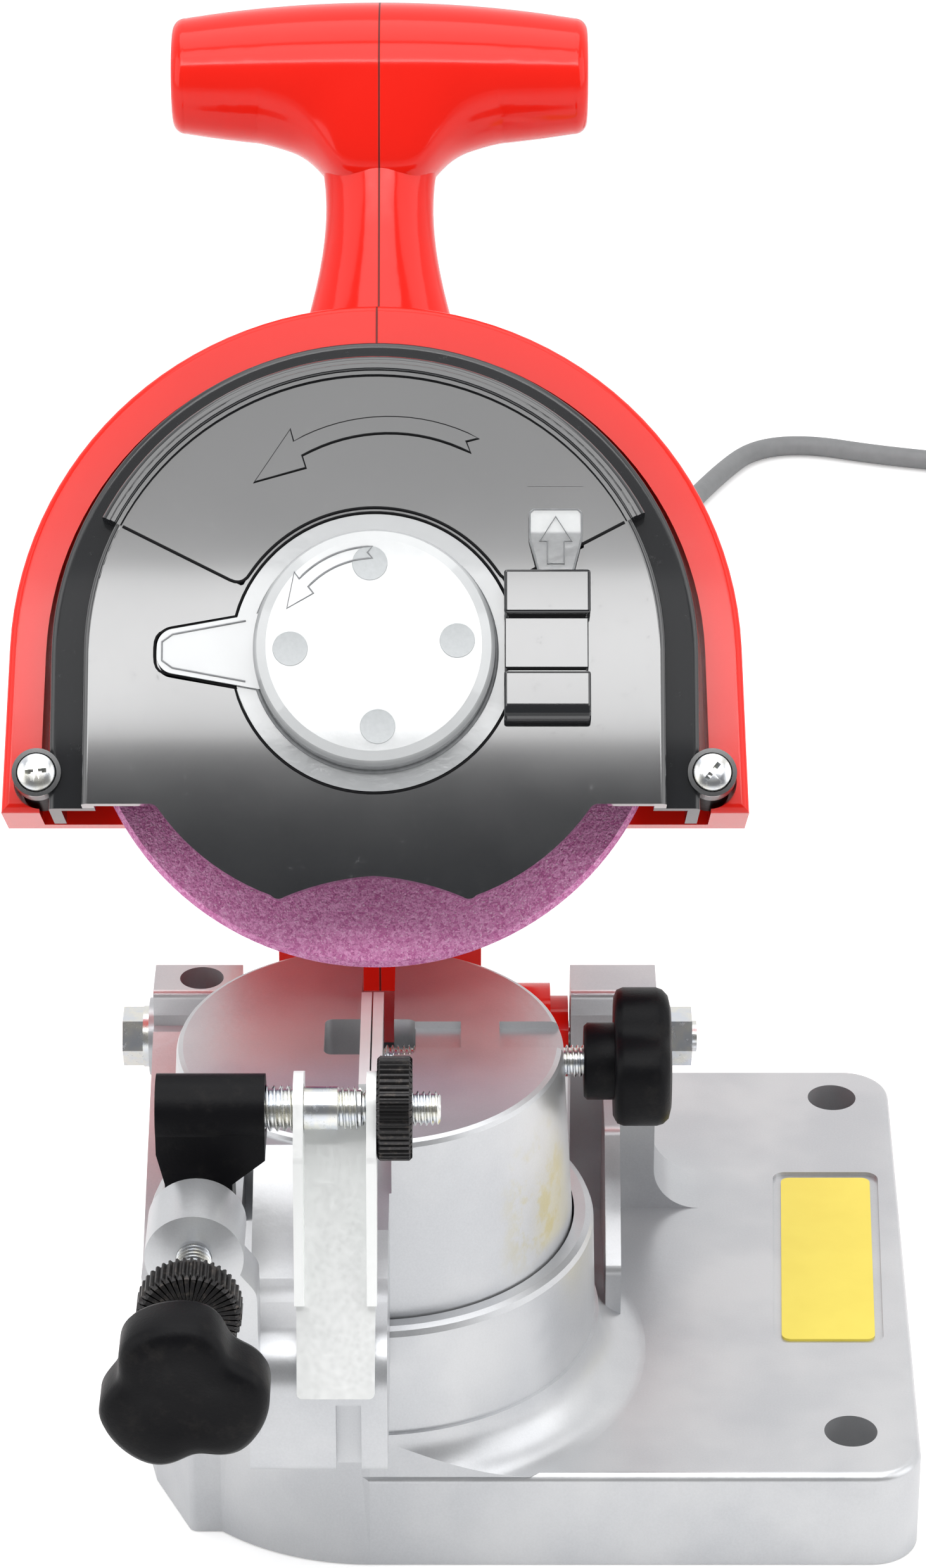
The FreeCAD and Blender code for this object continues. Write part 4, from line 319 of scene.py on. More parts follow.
def abrasive():
    """Pink fused grit in its bond: grains of violet, rose and pale pink, with pits."""
    finish = Finish("abrasive", (0.42, 0.13, 0.30), 0.88, Specular_IOR_Level=0.35)
    shade_of_grain = finish.node("ShaderNodeSeparateColor", None, {0: finish.grains(0.62, "Color")})
    fine = finish.noise(0.32, 2.0, 0.6)
    tone = finish.mix(shade_of_grain, (0.60, 0.16, 0.40), (0.86, 0.37, 0.66))
    tone = finish.mix(finish.smooth(fine, 0.56, 0.70) * 0.75, tone, (0.96, 0.70, 0.86))
    tone = finish.mix(finish.smooth(fine, 0.44, 0.32) * 0.6, tone, (0.33, 0.07, 0.21))
    finish.set("Base Color", tone)
    finish.set("Roughness", 0.78 + 0.2 * fine)
    finish.bump(finish.grains(0.55) * 0.7 + fine, 0.22, 0.9)
    return finish.material


def clear_plastic():
    """Clear plastic of the latch tab, with a slight haze. Its neck is painted darker, as painted shade for the dark
    pocket seen through it.
    """
    finish = Finish("clear_plastic", (0.86, 0.88, 0.89), 0.05, Transmission_Weight=0.55, IOR=1.42,
                    Coat_Weight=0.6, Specular_IOR_Level=0.6)
    haze = finish.noise(3.0, 4.0, 0.65)
    # Painted shade: the neck's colour is darkened for the shaded pocket that shows through it.
    painted_pocket_shade = finish.smooth(finish.along(wheel_centre, up_head), 22.4, 21.7)
    finish.set("Roughness", 0.03 + 0.09 * haze)
    tone = finish.mix(haze, (0.80, 0.82, 0.83), (0.94, 0.95, 0.95))
    finish.set("Base Color", finish.mix(painted_pocket_shade * (0.6 + 0.4 * haze), tone, (0.22, 0.23, 0.24)))
    finish.bump(haze, 0.02)
    return finish.material


def milky_plastic():
    """The cover's clear plastic over its pale lining: white in the middle, with painted shade that greys it towards
    its rounded rim and, lower down, on its ring and tab.
    """
    finish = Finish("milky_plastic", (0.86, 0.87, 0.88), 0.08, Transmission_Weight=0.12, IOR=1.42,
                    Coat_Weight=0.9, Coat_Roughness=0.04)
    haze = finish.noise(5.0, 4.0, 0.65)
    across = finish.along(wheel_centre, right)
    upwards = finish.along(wheel_centre, up_head)
    height = finish.along(wheel_centre, wheel_axis)
    reach = (across * across + upwards * upwards).root()
    # Painted shade: darker towards the cover's rounded rim.
    rim = finish.smooth(reach, 18.5, 21.2) * finish.smooth(height, 28.9, 27.6)
    step = finish.smooth(reach, 8.25, 8.05) * 0.6
    tone = finish.mix(step + 0.4 * haze, (0.58, 0.595, 0.605), (0.78, 0.79, 0.79))
    tone = finish.mix(rim * 0.55, tone, (0.30, 0.31, 0.32))
    # Painted shade: greyer lower down, on the cover's ring and tab, where the dark guard shows through.
    low = finish.smooth(height, 25.5, 24.0)
    tone = finish.mix(low * (0.25 + 0.4 * haze), tone, (0.42, 0.43, 0.44))
    finish.set("Base Color", tone)
    finish.set("Roughness", 0.05 + 0.10 * haze)
    finish.bump(haze, 0.03)
    return finish.material


def copper_wire():
    """Lacquered copper windings."""
    finish = Finish("copper_wire", (0.45, 0.14, 0.05), 0.3, 0.8)
    turns = finish.noise(0.5, 2.0, 0.5, (1.0, 1.0, 0.2))
    finish.set("Base Color", finish.mix(turns, (0.34, 0.09, 0.03), (0.58, 0.22, 0.09)))
    finish.bump(turns, 0.15)
    return finish.material


def core_iron():
    """Stacked iron sheets of the motor."""
    finish = Finish("core_iron", (0.16, 0.16, 0.17), 0.45, 0.9)
    finish.set("Base Color", finish.mix(finish.noise(3.0), (0.13, 0.13, 0.135), (0.21, 0.21, 0.22)))
    finish.bump((finish.along(wheel_centre, wheel_axis) * 9.0).wave(), 0.03)
    return finish.material


def plain(name, pitch, dark, pale, roughness, spread=0.0, relief=None, detail=3.0, metallic=0.0, **constants):
    """A simple finish: clouds of a pitch between two tones, rougher where paler, and a relief in its own noise."""
    finish = Finish(name, pale, roughness, metallic, **constants)
    cloud = finish.noise(pitch, detail)
    finish.set("Base Color", finish.mix(cloud, dark, pale))
    if spread:
        finish.set("Roughness", roughness + spread * cloud)
    if relief:
        relief_pitch, relief_detail, depth = relief
        finish.bump(finish.noise(relief_pitch, relief_detail), depth)
    return finish.material


finishes = {
    "silver_paint": silver_paint(),
    "red_plastic": red_plastic(),
    "black_gloss": black_gloss(),
    "black_plastic": black_plastic(),
    "clear_plastic": clear_plastic(),
    "zinc_steel": zinc_steel(),
    "black_steel": black_steel(),
    "machined_steel": machined_steel(),
    "abrasive": abrasive(),
    "core_iron": core_iron(),
    "copper": copper_wire(),
    "carbon": plain("carbon_block", 0.6, (0.02, 0.02, 0.02), (0.05, 0.05, 0.05), 0.6),
    "fan_plastic": plain("fan_plastic", 6.0, (0.56, 0.54, 0.48), (0.66, 0.64, 0.58), 0.45),
    "yellow_film": plain("yellow_plate", 8.0, (0.76, 0.62, 0.06), (0.84, 0.71, 0.09), 0.30, 0.12, (3.0, 2.0, 0.01),
                         Coat_Weight=0.3, Coat_Roughness=0.15),
    "grey_rubber": plain("grey_rubber", 3.0, (0.18, 0.185, 0.19), (0.25, 0.255, 0.26), 0.44, 0.14, (0.6, 3.0, 0.02),
                         detail=4.0),
    "dark_rubber": plain("dark_rubber", 2.5, (0.024, 0.024, 0.027), (0.05, 0.05, 0.053), 0.44, 0.14,
                         (0.5, 3.0, 0.03), detail=4.0),
}
sheet_finish, milky_finish = zinc_sheet(), milky_plastic()

# The pale plated wheel clamp behind the clear cover, and the moulding marks of the clear parts, which scatter light
white_finish = plain("white_plate", 6.0, (0.80, 0.81, 0.81), (0.92, 0.925, 0.925), 0.26, 0.12, metallic=0.15)
frost_finish = plain("frosted_plastic", 0.8, (0.42, 0.44, 0.45), (0.52, 0.54, 0.55), 0.34, 0.16, (0.8, 3.0, 0.02))

# Painted shade: a grey for clear plastic seen through its edge, and a black for the joints and steps of the black
# mouldings, which light hardly reaches
edge_finish = plain("shaded_edge", 2.0, (0.12, 0.125, 0.13), (0.30, 0.31, 0.32), 0.28, 0.14)
painted_shade_finish = plain("painted_shade_black", 0.8, (0.003, 0.003, 0.004), (0.008, 0.008, 0.009), 0.50, 0.12,
                    Specular_IOR_Level=0.12)

slot_of = {part["node"]: part["material_slot"] for part in frame["record"]["subparts"]}


def paint(thing, material):
    """Gives a thing one material."""
    thing.data.materials.clear()
    thing.data.materials.append(material)


# Making pieces

def piece(name, shape, place, body, slot, replaced=(), material=None, sharp=35):
    """Object from a bmesh drawn in mm: set in place, with smooth faces and the finish of its slot."""
    bmesh.ops.transform(shape, matrix=place, verts=shape.verts)
    bmesh.ops.remove_doubles(shape, verts=shape.verts, dist=0.002 * MM)
    bmesh.ops.recalc_face_normals(shape, faces=shape.faces)
    thing = linked(name, mesh_of(name, shape))
    soften(thing.data, sharp)
    paint(thing, material or finishes[slot])
    if replaced:
        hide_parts(*replaced)
    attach(thing, body)
    return thing


def soften(mesh, sharp):
    """Smooth shading, with edges kept sharp where faces meet at more than the angle."""
    mesh.polygons.foreach_set("use_smooth", [True] * len(mesh.polygons))
    mesh.set_sharp_from_angle(angle=math.radians(sharp))


def mesh_of(name, shape):
    """Mesh from a bmesh, which it frees."""
    mesh = bpy.data.meshes.new(name)
    shape.to_mesh(mesh)
    shape.free()
    return mesh


def linked(name, data):
    """New object of the scene."""
    thing = bpy.data.objects.new(name, data)
    bpy.context.scene.collection.objects.link(thing)
    return thing


def mesh_of_curve(curve):
    """The curve with its bevel as a mesh."""
    maker = linked(curve.name, curve)
    mesh = bpy.data.meshes.new_from_object(maker.evaluated_get(bpy.context.evaluated_depsgraph_get()))
    bpy.data.objects.remove(maker)
    return mesh


def pour(shape, into):
    """Moves a finished shape into another."""
    mesh = mesh_of("poured", shape)
    into.from_mesh(mesh)
    bpy.data.meshes.remove(mesh)


def pushed_out(shape, geometry, offset):
    """Extrudes faces, which stay as the floor, and moves the new ones by the offset."""
    lifted = bmesh.ops.extrude_face_region(shape, geom=geometry, use_keep_orig=True)["geom"]
    verts = [item for item in lifted if isinstance(item, bmesh.types.BMVert)]
    bmesh.ops.translate(shape, vec=offset, verts=verts)


def rounded(shape, edges, offset, segments):
    """Bevels edges to a round, or to a chamfer with one segment."""
    bmesh.ops.bevel(shape, geom=edges, offset=offset, offset_type="OFFSET", segments=segments, profile=0.5,
                    affect="EDGES", material=-1)


def ring_joined(shape, ring, last):
    """Joins a ring of points to the edges of the one before, or closes the first. Gives its own edges."""
    edges = list(dict.fromkeys(edge for vert in ring for edge in vert.link_edges))
    if last:
        bmesh.ops.bridge_loops(shape, edges=last + edges)
    else:
        bmesh.ops.contextual_create(shape, geom=edges)
    return edges


def turned_shape(profile, steps=64, into=None):
    """Solid of revolution about Z from (radius, height) points in mm."""
    shape = into or bmesh.new()
    verts = [shape.verts.new((radius, 0, height)) for radius, height in profile]
    edges = [shape.edges.new(pair) for pair in zip(verts, verts[1:])]
    bmesh.ops.spin(shape, geom=verts + edges, cent=(0, 0, 0), axis=(0, 0, 1), angle=TURN, steps=steps,
                   use_merge=True, use_duplicate=False)
    bmesh.ops.remove_doubles(shape, verts=shape.verts, dist=0.001)
    return shape


def add_rod(shape, radius, low, high, chamfer=0.0, steps=40):
    """Plain round bar about Z with chamfered ends."""
    turned_shape([(0, low), (radius - chamfer, low), (radius, low + chamfer), (radius, high - chamfer),
                  (radius - chamfer, high), (0, high)], steps, into=shape)


def add_thread(shape, radius, low, high, pitch, steps=28):
    """Screw thread about Z: a root bar and one ridge wound round it, run out at both ends."""
    depth = 0.58 * pitch
    root = radius - depth
    add_rod(shape, root + 0.05 * pitch, low, high, depth * 0.5, steps)
    first = low + 0.5 * pitch
    turns = max((high - low - pitch) / pitch, 0.5)
    crest, foot = 0.07 * pitch, 0.44 * pitch
    ridge = [(root - 0.1, first - foot), (radius, first - crest), (radius, first + crest),
             (root - 0.1, first + foot)]
    verts = [shape.verts.new((x, 0, z)) for x, z in ridge]
    edges = list(shape.faces.new(verts).edges)
    count = round(turns * steps)
    bmesh.ops.spin(shape, geom=verts + edges, cent=(0, 0, 0), axis=(0, 0, 1), dvec=(0, 0, pitch / steps),
                   angle=TURN * count / steps, steps=count, use_merge=False, use_duplicate=False)
    shape.faces.new(shape.verts[-len(ridge):])


def way_frame(origin, way):
    """Frame whose Z runs along the way."""
    helper = up if abs(way.z) < 0.9 else right
    x_way = helper.cross(way).normalized()
    return frame_of(origin, x_way, way.cross(x_way), way)


def knurled_shape(radius, bore, thick, teeth, depth):
    """Nut with straight teeth round its rim, chamfered at both faces, with a bore."""
    shape = bmesh.new()
    count = teeth * 4
    loops = []
    for reach, dip in ((radius, depth), (bore, 0)):
        ring = []
        for index in range(count):
            tooth = reach - (dip if index % 4 in (0, 3) else 0)
            ring.append(shape.verts.new((*polar(middle, tooth, 360 * index / count), 0)))
        loops += [shape.edges.new((ring[index - 1], ring[index])) for index in range(count)]
    bmesh.ops.bridge_loops(shape, edges=loops)
    for face in shape.faces:
        face.normal_update()
    pushed_out(shape, shape.faces[:] + shape.edges[:] + shape.verts[:], (0, 0, thick))
    ends = [edge for edge in shape.edges if abs(edge.verts[0].co.z - edge.verts[1].co.z) < 0.001
            and min(vert.co.to_2d().length for vert in edge.verts) > radius - 2 * depth]
    rounded(shape, ends, depth * 0.9, 1)
    return shape


# Screws, nuts and rods

def threaded_bar(name, node, body, way, radius=3.0, pitch=1.0):
    """The whole length of a CAD bar as a screw thread."""
    low, high = map(Vector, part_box(node))
    length = abs((high - low).dot(way)) / MM
    shape = bmesh.new()
    add_thread(shape, radius, -length / 2, length / 2, pitch)
    return piece(name, shape, way_frame((low + high) / 2, way), body, slot_of[node], [node], sharp=25)


def clamp_screw():
    """The long screw that draws the clamp plates together."""
    return threaded_bar("clamp_screw_thread", "clamp_screw", "clamp", right)


def adjuster_screw():
    """The screw that sets the chain stop."""
    return threaded_bar("adjuster_screw_thread", "adjuster_screw", "adjuster", back)


def stop_rod():
    """Rod of the chain stop: coarse thread, bright shank, fine thread, thin threaded end."""
    start, end = ((corner[0] - rod_axis.x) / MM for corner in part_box("stop_rod"))
    ear_left = (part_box("chain_stop_flap")[0][0] - rod_axis.x) / MM
    shank_start, shank_end, step = ear_left + 1.7, ear_left + 7.8, ear_left + 8.6
    shape = bmesh.new()
    add_thread(shape, 4.0, start, shank_start, 1.25)
    add_rod(shape, 3.75, shank_start - 0.2, shank_end, 0.3)
    add_thread(shape, 3.7, shank_end - 0.1, step + 3.2, 1.0)
    add_thread(shape, 3.0, step, end, 1.0)
    return piece("stop_rod_turned", shape, frame_of(rod_axis, back, up, right), "holder", "zinc_steel",
                 ["stop_rod"], sharp=25)


nut_bore, nut_teeth, nut_knurl = 3.1, 44, 0.55


def thumb_nut():
    """Knurled nut that holds the flap on the stop rod."""
    low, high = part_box("rod_thumb_nut")
    shape = knurled_shape(9.0, nut_bore, (high[0] - low[0]) / MM, nut_teeth, nut_knurl)
    place = frame_of(Vector((low[0], rod_axis.y, rod_axis.z)), back, up, right)
    return piece("thumb_nut_knurled", shape, place, "thumb", "black_steel", ["rod_thumb_nut"], sharp=25)


def lock_nut():
    """Knurled nut that locks the adjuster screw."""
    low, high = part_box("adjuster_lock_nut")
    shape = knurled_shape(8.8, nut_bore, (high[1] - low[1]) / MM, nut_teeth, nut_knurl)
    place = frame_of(Vector((adjuster_axis.x, low[1], adjuster_axis.z)), up, right, back)
    return piece("lock_nut_knurled", shape, place, "lock_nut", "black_steel", ["adjuster_lock_nut"], sharp=25)


def cross_recess(shape, top, reach, width, depth):
    """Cuts a crosshead recess into a screw head whose top lies at the height."""
    bit = bmesh.new()
    for turn in (0, 1):
        for vert in bmesh.ops.create_cube(bit, size=1.0)["verts"]:
            narrow = 0.45 if vert.co.z < 0 else 1.0
            x, y, z = vert.co.x * 2 * reach * narrow, vert.co.y * width, top + (vert.co.z - 0.5) * depth + 0.3
            vert.co = (y, x, z) if turn else (x, y, z)
    head, tool = (linked(name, mesh_of(name, part)) for name, part in (("head", shape), ("bit", bit)))
    cut = head.modifiers.new("recess", "BOOLEAN")
    cut.operation = "DIFFERENCE"
    cut.object = tool
    cut.solver = "EXACT"
    cut.use_self = True
    result = bmesh.new()
    result.from_object(head, bpy.context.evaluated_depsgraph_get())
    bpy.data.objects.remove(head)
    bpy.data.objects.remove(tool)
    return result


def pan_head(radius, thick, recess_depth=1.6):
    """Pan head of a screw from z = 0 up, with a crosshead recess."""
    shape = turned_shape([(0, 0), (radius * 0.96, 0), (radius, thick * 0.12), (radius, thick * 0.42),
                          (radius * 0.93, thick * 0.68), (radius * 0.76, thick * 0.88),
                          (radius * 0.5, thick * 0.98), (0, thick)], 48)
    return cross_recess(shape, thick, radius * 0.62, radius * 0.24, recess_depth)


ear_x, ear_y, ear_front = 61.0, -21.4, 19.6
screw_head_thick = 2.2


def guard_screws():
    """Two bright crosshead screws through the guard's ears."""
    whole = bmesh.new()
    for side in (-1, 1):
        head = pan_head(3.6, screw_head_thick)
        add_rod(head, 2.0, -21.0, 0.4, 0.2, 24)
        turn = Matrix.Rotation(0.5 + 0.4 * side, 4, "Z")
        spot = Matrix.Translation((side * ear_x, ear_y, ear_front - screw_head_thick / 2))
        bmesh.ops.transform(head, matrix=spot @ turn, verts=head.verts)
        pour(head, whole)
    return piece("guard_screws_crosshead", whole, HEAD, "head", "zinc_steel", ["guard_screws"], sharp=30)


# Star knobs

knob_lobes, knob_dip, knob_dish = 3, 0.22, 0.3
adjuster_grip_radius, adjuster_hub_radius, adjuster_hub, adjuster_turned = 14.2, 7.0, 4.0, -41
clamp_grip_radius, clamp_hub_radius, clamp_hub, clamp_turned = 13.6, 7.1, 5.5, 61


def star_shape(radius, thick, hub_radius, hub):
    """Star grip from z = 0 to thick: rounded lobes, rolled rims, a slightly dished face, a hub below."""
    shape = bmesh.new()
    roll, floor = thick * 0.16, thick - knob_dish
    layers = [(0.97 * radius, 0), (roll, 0), (0.3 * roll, 0.3 * roll), (0, roll), (0, thick - 1.6 * roll),
              (0.25 * roll, thick - 0.9 * roll), (0.9 * roll, thick - 0.3 * roll), (2.2 * roll, thick),
              (4.2 * roll, thick), (4.8 * roll, floor), (0.97 * radius, floor)]
    last = None
    for inset, height in layers:
        ring = bmesh.ops.create_circle(shape, segments=120, radius=radius)["verts"]
        for vert in ring:
            angle = math.atan2(vert.co.y, vert.co.x)
            wave = 0.5 - 0.5 * math.cos(knob_lobes * angle)
            reach = radius * (1 - knob_dip * wave ** 3 * max(1 - inset / radius, 0)) - inset
            vert.co = (reach * math.cos(angle), reach * math.sin(angle), height)
        last = ring_joined(shape, ring, last)
    bmesh.ops.contextual_create(shape, geom=last)
    turned_shape([(0, -hub), (hub_radius - 0.6, -hub), (hub_radius, -hub + 0.6), (hub_radius, 0.4), (0, 0.4)], 48,
                 into=shape)
    return shape


def adjuster_knob():
    """Star knob at the front end of the adjuster screw."""
    low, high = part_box("adjuster_knob")
    shape = star_shape(adjuster_grip_radius, (high[1] - low[1]) / MM - adjuster_hub, adjuster_hub_radius,
                       adjuster_hub)
    origin = Vector((adjuster_axis.x, high[1] - adjuster_hub * MM, adjuster_axis.z))
    place = frame_of(origin, -right, up, -back) @ Matrix.Rotation(math.radians(adjuster_turned), 4, "Z")
    return piece("adjuster_star_grip", shape, place, "adjuster", "black_plastic", ["adjuster_knob"], sharp=50)


def clamp_knob():
    """Star knob at the right end of the clamp screw."""
    low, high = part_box("clamp_knob")
    shape = star_shape(clamp_grip_radius, (high[0] - low[0]) / MM - clamp_hub, clamp_hub_radius, clamp_hub)
    origin = Vector((low[0] + clamp_hub * MM, clamp_axis.y, clamp_axis.z))
    place = frame_of(origin, back, up, right) @ Matrix.Rotation(math.radians(clamp_turned), 4, "Z")
    return piece("clamp_star_grip", shape, place, "clamp", "black_plastic", ["clamp_knob"], sharp=50)


# Handle

bar_radius, bar_crown_radius = 14.1, 235.875
bar_y, bar_z = 122.8, -18.0
flare_drop, flare_half, flare_end = 10.0, 11.5, 27.0


def eased(value, low, high):
    """From 0 to 1, smoothly, while the value goes from low to high."""
    share = min(max((value - low) / (high - low), 0), 1)
    return share * share * (3 - 2 * share)


def handle_flare():
    """The red root of the cross bar, which runs down over the neck in the middle and fades out to both sides."""
    shape = bmesh.new()
    last = None
    stations = 54
    for index in range(stations + 1):
        x = flare_end * (2 * index / stations - 1)
        crowned = bar_radius - bar_crown_radius + math.sqrt(bar_crown_radius ** 2 - x * x)
        drop = flare_drop / (1 + (abs(x) / flare_half) ** 5) * (1 - eased(abs(x), 18, 26))
        ring = bmesh.ops.create_circle(shape, segments=96, radius=1)["verts"]
        for vert in ring:
            below = math.degrees(math.atan2(vert.co.y, vert.co.x)) % 360
            above = min(abs(below - 360), abs(below - 180)) if below > 180 else 0
            sunk = 0.15 * max(eased(abs(x), 19, 26.5), eased(above, 4, 60)) + 0.4 * eased(above, 60, 85)
            reach = crowned + 0.03 - sunk
            lowered = eased(below, 14, 58) * eased(below, 170, 130) if below < 180 else 0
            angle = math.radians(below)
            vert.co = (x, bar_y - reach * math.sin(angle) - drop * lowered, bar_z + reach * math.cos(angle))
        last = ring_joined(shape, ring, last)
    bmesh.ops.contextual_create(shape, geom=last)
    return piece("handle_bar_root", shape, HEAD, "head", "red_plastic", sharp=50)


# Markings moulded into the guard and its clear cover

def ridge_line(name, points, height, width, body, material, slot, closed=True):
    """Raised half round line through points in the head's plane, at a height along the wheel axis."""
    curve = bpy.data.curves.new(name, "CURVE")
    curve.dimensions = "3D"
    line = curve.splines.new("POLY")
    line.points.add(len(points) - 1)
    for point, (x, y) in zip(line.points, points):
        point.co = (x, y, height, 1)
    line.use_cyclic_u = closed
    curve.bevel_depth = width / 2
    curve.bevel_resolution = 3
    mesh = mesh_of_curve(curve)
    shape = bmesh.new()
    shape.from_mesh(mesh)
    bpy.data.meshes.remove(mesh)
    return piece(name, shape, HEAD, body, slot, material=material, sharp=60)


def raised_plate(name, outline, low, high, round_edge, body, material, slot, sharp=40):
    """Flat moulded relief inside an outline in the head's plane, with rounded upper edges."""
    shape = bmesh.new()
    face = shape.faces.new([shape.verts.new((x, y, low)) for x, y in outline])
    pushed_out(shape, [face], (0, 0, high - low))
    rim = [edge for edge in shape.edges if min(vert.co.z for vert in edge.verts) > high - 0.01]
    rounded(shape, rim, round_edge, 2)
    return piece(name, shape, HEAD, body, slot, material=material, sharp=sharp)


def polar(centre, radius, angle):
    """Point of a plane, from its angle in degrees about a centre."""
    turned = math.radians(angle)
    return centre[0] + radius * math.cos(turned), centre[1] + radius * math.sin(turned)


def arc_points(centre, radius, start, end, steps=16):
    """Points along an arc, its angles in degrees."""
    return [polar(centre, radius, start + (end - start) * index / steps) for index in range(steps + 1)]


def bent_arrow(centre, radius, band, start, neck, tip, head_wide, fork):
    """Outline of a bent arrow: shaft from start to neck, head to tip, a notch in the tail. Angles in degrees."""
    outer = arc_points(centre, radius + band / 2, start, neck)
    inner = arc_points(centre, radius - band / 2, neck, start)
    head = [polar(centre, radius + head_wide / 2, neck - 1), polar(centre, radius, tip),
            polar(centre, radius - head_wide / 2, neck + 1)]
    return outer + head + inner + [polar(centre, radius, start + fork)]


middle = (0, 0)
face_height = 23.2
fan_floor = pocket_floor = face_height - 0.9
fan_inner, fan_outer = 26.8, 51.9
fan_right, fan_left = 28.0, 153.0
cover_face, dome_foot = 29.5, 22.05


def bend(first, corner, last, steps=5):
    """Points of a rounded corner between two legs."""
    shares = [index / steps for index in range(steps + 1)]
    return [tuple((1 - share) ** 2 * a + 2 * share * (1 - share) * b + share ** 2 * c
                  for a, b, c in zip(first, corner, last)) for share in shares]


def guard_arrow():
    """The turning arrow moulded on the guard's fan."""
    outline = bent_arrow(centre=(2.5, 9.3), radius=33.2, band=3.0, start=62, neck=120, tip=137.5, head_wide=7.7,
                         fork=3.0)
    # A black line of painted shade at the foot of the relief.
    ridge_line("guard_arrow_foot_shade", outline, fan_floor + 0.08, 0.5, "head", painted_shade_finish, "black_gloss")
    return raised_plate("guard_arrow_relief", outline, fan_floor - 0.2, fan_floor + 0.5, 0.12, "head",
                        finishes["black_gloss"], "black_gloss", sharp=12)


def fan_edge():
    """A black line of painted shade along the step round the guard's fan: down one side, round the cover and up the
    other.
    """
    corners = []
    for side, inwards in ((fan_right, 6), (fan_left, -6)):
        corners.append(bend(polar(middle, fan_inner + 2.6, side), polar(middle, fan_inner, side),
                            polar(middle, fan_inner, side + inwards)))
    arc = arc_points(middle, fan_inner, fan_right + 8, fan_left - 8, 40)
    path = [polar(middle, fan_outer - 0.6, fan_right), *corners[0], *arc, *reversed(corners[1]),
            polar(middle, fan_outer - 0.6, fan_left)]
    return ridge_line("guard_fan_edge_shade", path, face_height - 0.05, 0.62, "head", painted_shade_finish, "black_gloss",
                      closed=False)


def cover_joint():
    """A black line of painted shade in the joint between the guard's pocket and the cover's ring with its pointed
    tab.
    """
    radius, tip, tip_half, tab_angle = 25.95, -39.7, 4.0, 165.5
    ring = arc_points(middle, radius, -tab_angle, tab_angle, 72)
    nose = bend((tip + 2.6, tip_half), (tip, tip_half), (tip, 0.8))
    outline = ring + nose + [(x, -y) for x, y in reversed(nose)]
    return ridge_line("cover_pocket_joint_shade", outline, face_height - 0.05, 0.5, "head", painted_shade_finish, "black_gloss")


def cover_foot():
    """The shaded foot of the cover's cap on its ring, and the shaded edge of its tab."""
    foot = pocket_floor + 1.0
    half = [(-23.2, 5.6), (-36.4, 3.1), (-38.3, 1.7)]
    ridge_line("cover_tab_edge", half + [(x, -y) for x, y in reversed(half)], foot + 0.75, 0.35, "head",
               edge_finish, "clear_plastic", closed=False)
    return ridge_line("cover_cap_foot", arc_points(middle, dome_foot, 0, 360, 96)[:-1], foot + 0.1, 0.8, "head",
                      edge_finish, "clear_plastic")


def side_block(into, profile, left_side, right_side, edge_round):
    """Solid between two sides of the head, from its outline in the plane of y and z, with rounded edges."""
    block = bmesh.new()
    face = block.faces.new([block.verts.new((left_side, y, z)) for y, z in profile])
    pushed_out(block, [face], (right_side - left_side, 0, 0))
    bmesh.ops.recalc_face_normals(block, faces=block.faces)
    rounded(block, [edge for edge in block.edges if edge.calc_face_angle(0) > math.radians(30)], edge_round, 3)
    pour(block, into)


def cover_latch():
    """The latch: a bed with a thumb plate, a lower middle and a foot that rolls down."""
    seat = face_height + 0.05
    foot_low, foot_high, foot_top = -13.4, -4.2, 27.0
    shape = bmesh.new()
    for low, high, top, left_side, right_side, edge_round in (
            (-12.6, 13.8, 25.2, 23.9, 38.4, 0.3), (6.3, 14.4, 27.6, 23.4, 39.0, 0.55),
            (-3.6, 5.7, 26.4, 23.5, 38.6, 0.22)):
        side_block(shape, [(low, seat), (high, seat), (high, top), (low, top)], left_side, right_side, edge_round)
    roll = [(-10.2, foot_top)] + bend((-10.5, foot_top), (foot_low, foot_top), (foot_low, 24.4), 7)
    side_block(shape, [(foot_low, seat), (foot_high, seat), (foot_high, foot_top)] + roll, 23.4, 39.0, 0.5)
    return piece("cover_latch_steps", shape, HEAD, "latch", "black_gloss", ["cover_latch"], sharp=10)


def cover_arrow():
    """The small turning arrow moulded in the clear cover."""
    outline = bent_arrow(middle, radius=17.0, band=2.2, start=91, neck=138, tip=157, head_wide=5.2, fork=3.0)
    # The ridge is drawn in the grey of painted shade, for clear plastic seen through its edge.
    return ridge_line("cover_arrow_ridge", outline, cover_face, 0.4, "head", edge_finish, "clear_plastic")


def tab_arrow():
    """The arrow on the clear tab over the latch."""
    centre, tail, neck = 32.8, 16.2, 20.4
    half = [(1.5, tail), (1.5, neck), (2.9, neck)]
    outline = [(centre - x, y) for x, y in half] + [(centre, 25.0)] + [(centre + x, y) for x, y in reversed(half)]
    half = [(3.1, 14.6), (4.7, 21.0), (4.7, 25.6), (4.0, 26.3)]
    edge = [(centre - x, y) for x, y in half] + [(centre + x, y) for x, y in reversed(half)]
    # Its edge and arrow are drawn in the same grey painted shade.
    ridge_line("tab_edge_ridge", edge, 23.9, 0.35, "latch", edge_finish, "clear_plastic", closed=False)
    return ridge_line("tab_arrow_ridge", outline, 24.0, 0.3, "latch", edge_finish, "clear_plastic")


def cover_marks():
    """Four round marks of the mould on the cover's face."""
    shape = bmesh.new()
    for quarter in range(4):
        dot = turned_shape([(0, -0.2), (3.2, -0.2), (3.2, 0.0), (3.08, 0.1), (2.85, 0.05), (0, 0.05)], 40)
        place = (*polar(middle, 15.0, 90 * quarter + 2.865), cover_face + 0.03)
        bmesh.ops.translate(dot, vec=place, verts=dot.verts)
        pour(dot, shape)
    return piece("cover_mould_marks", shape, HEAD, "head", "clear_plastic", material=frost_finish)


gland_root = up_head * -17.5 + wheel_axis * -97.0
gland_length, gland_bore, gland_tip, gland_widens = 26.0, 2.75, 3.9, 1.7


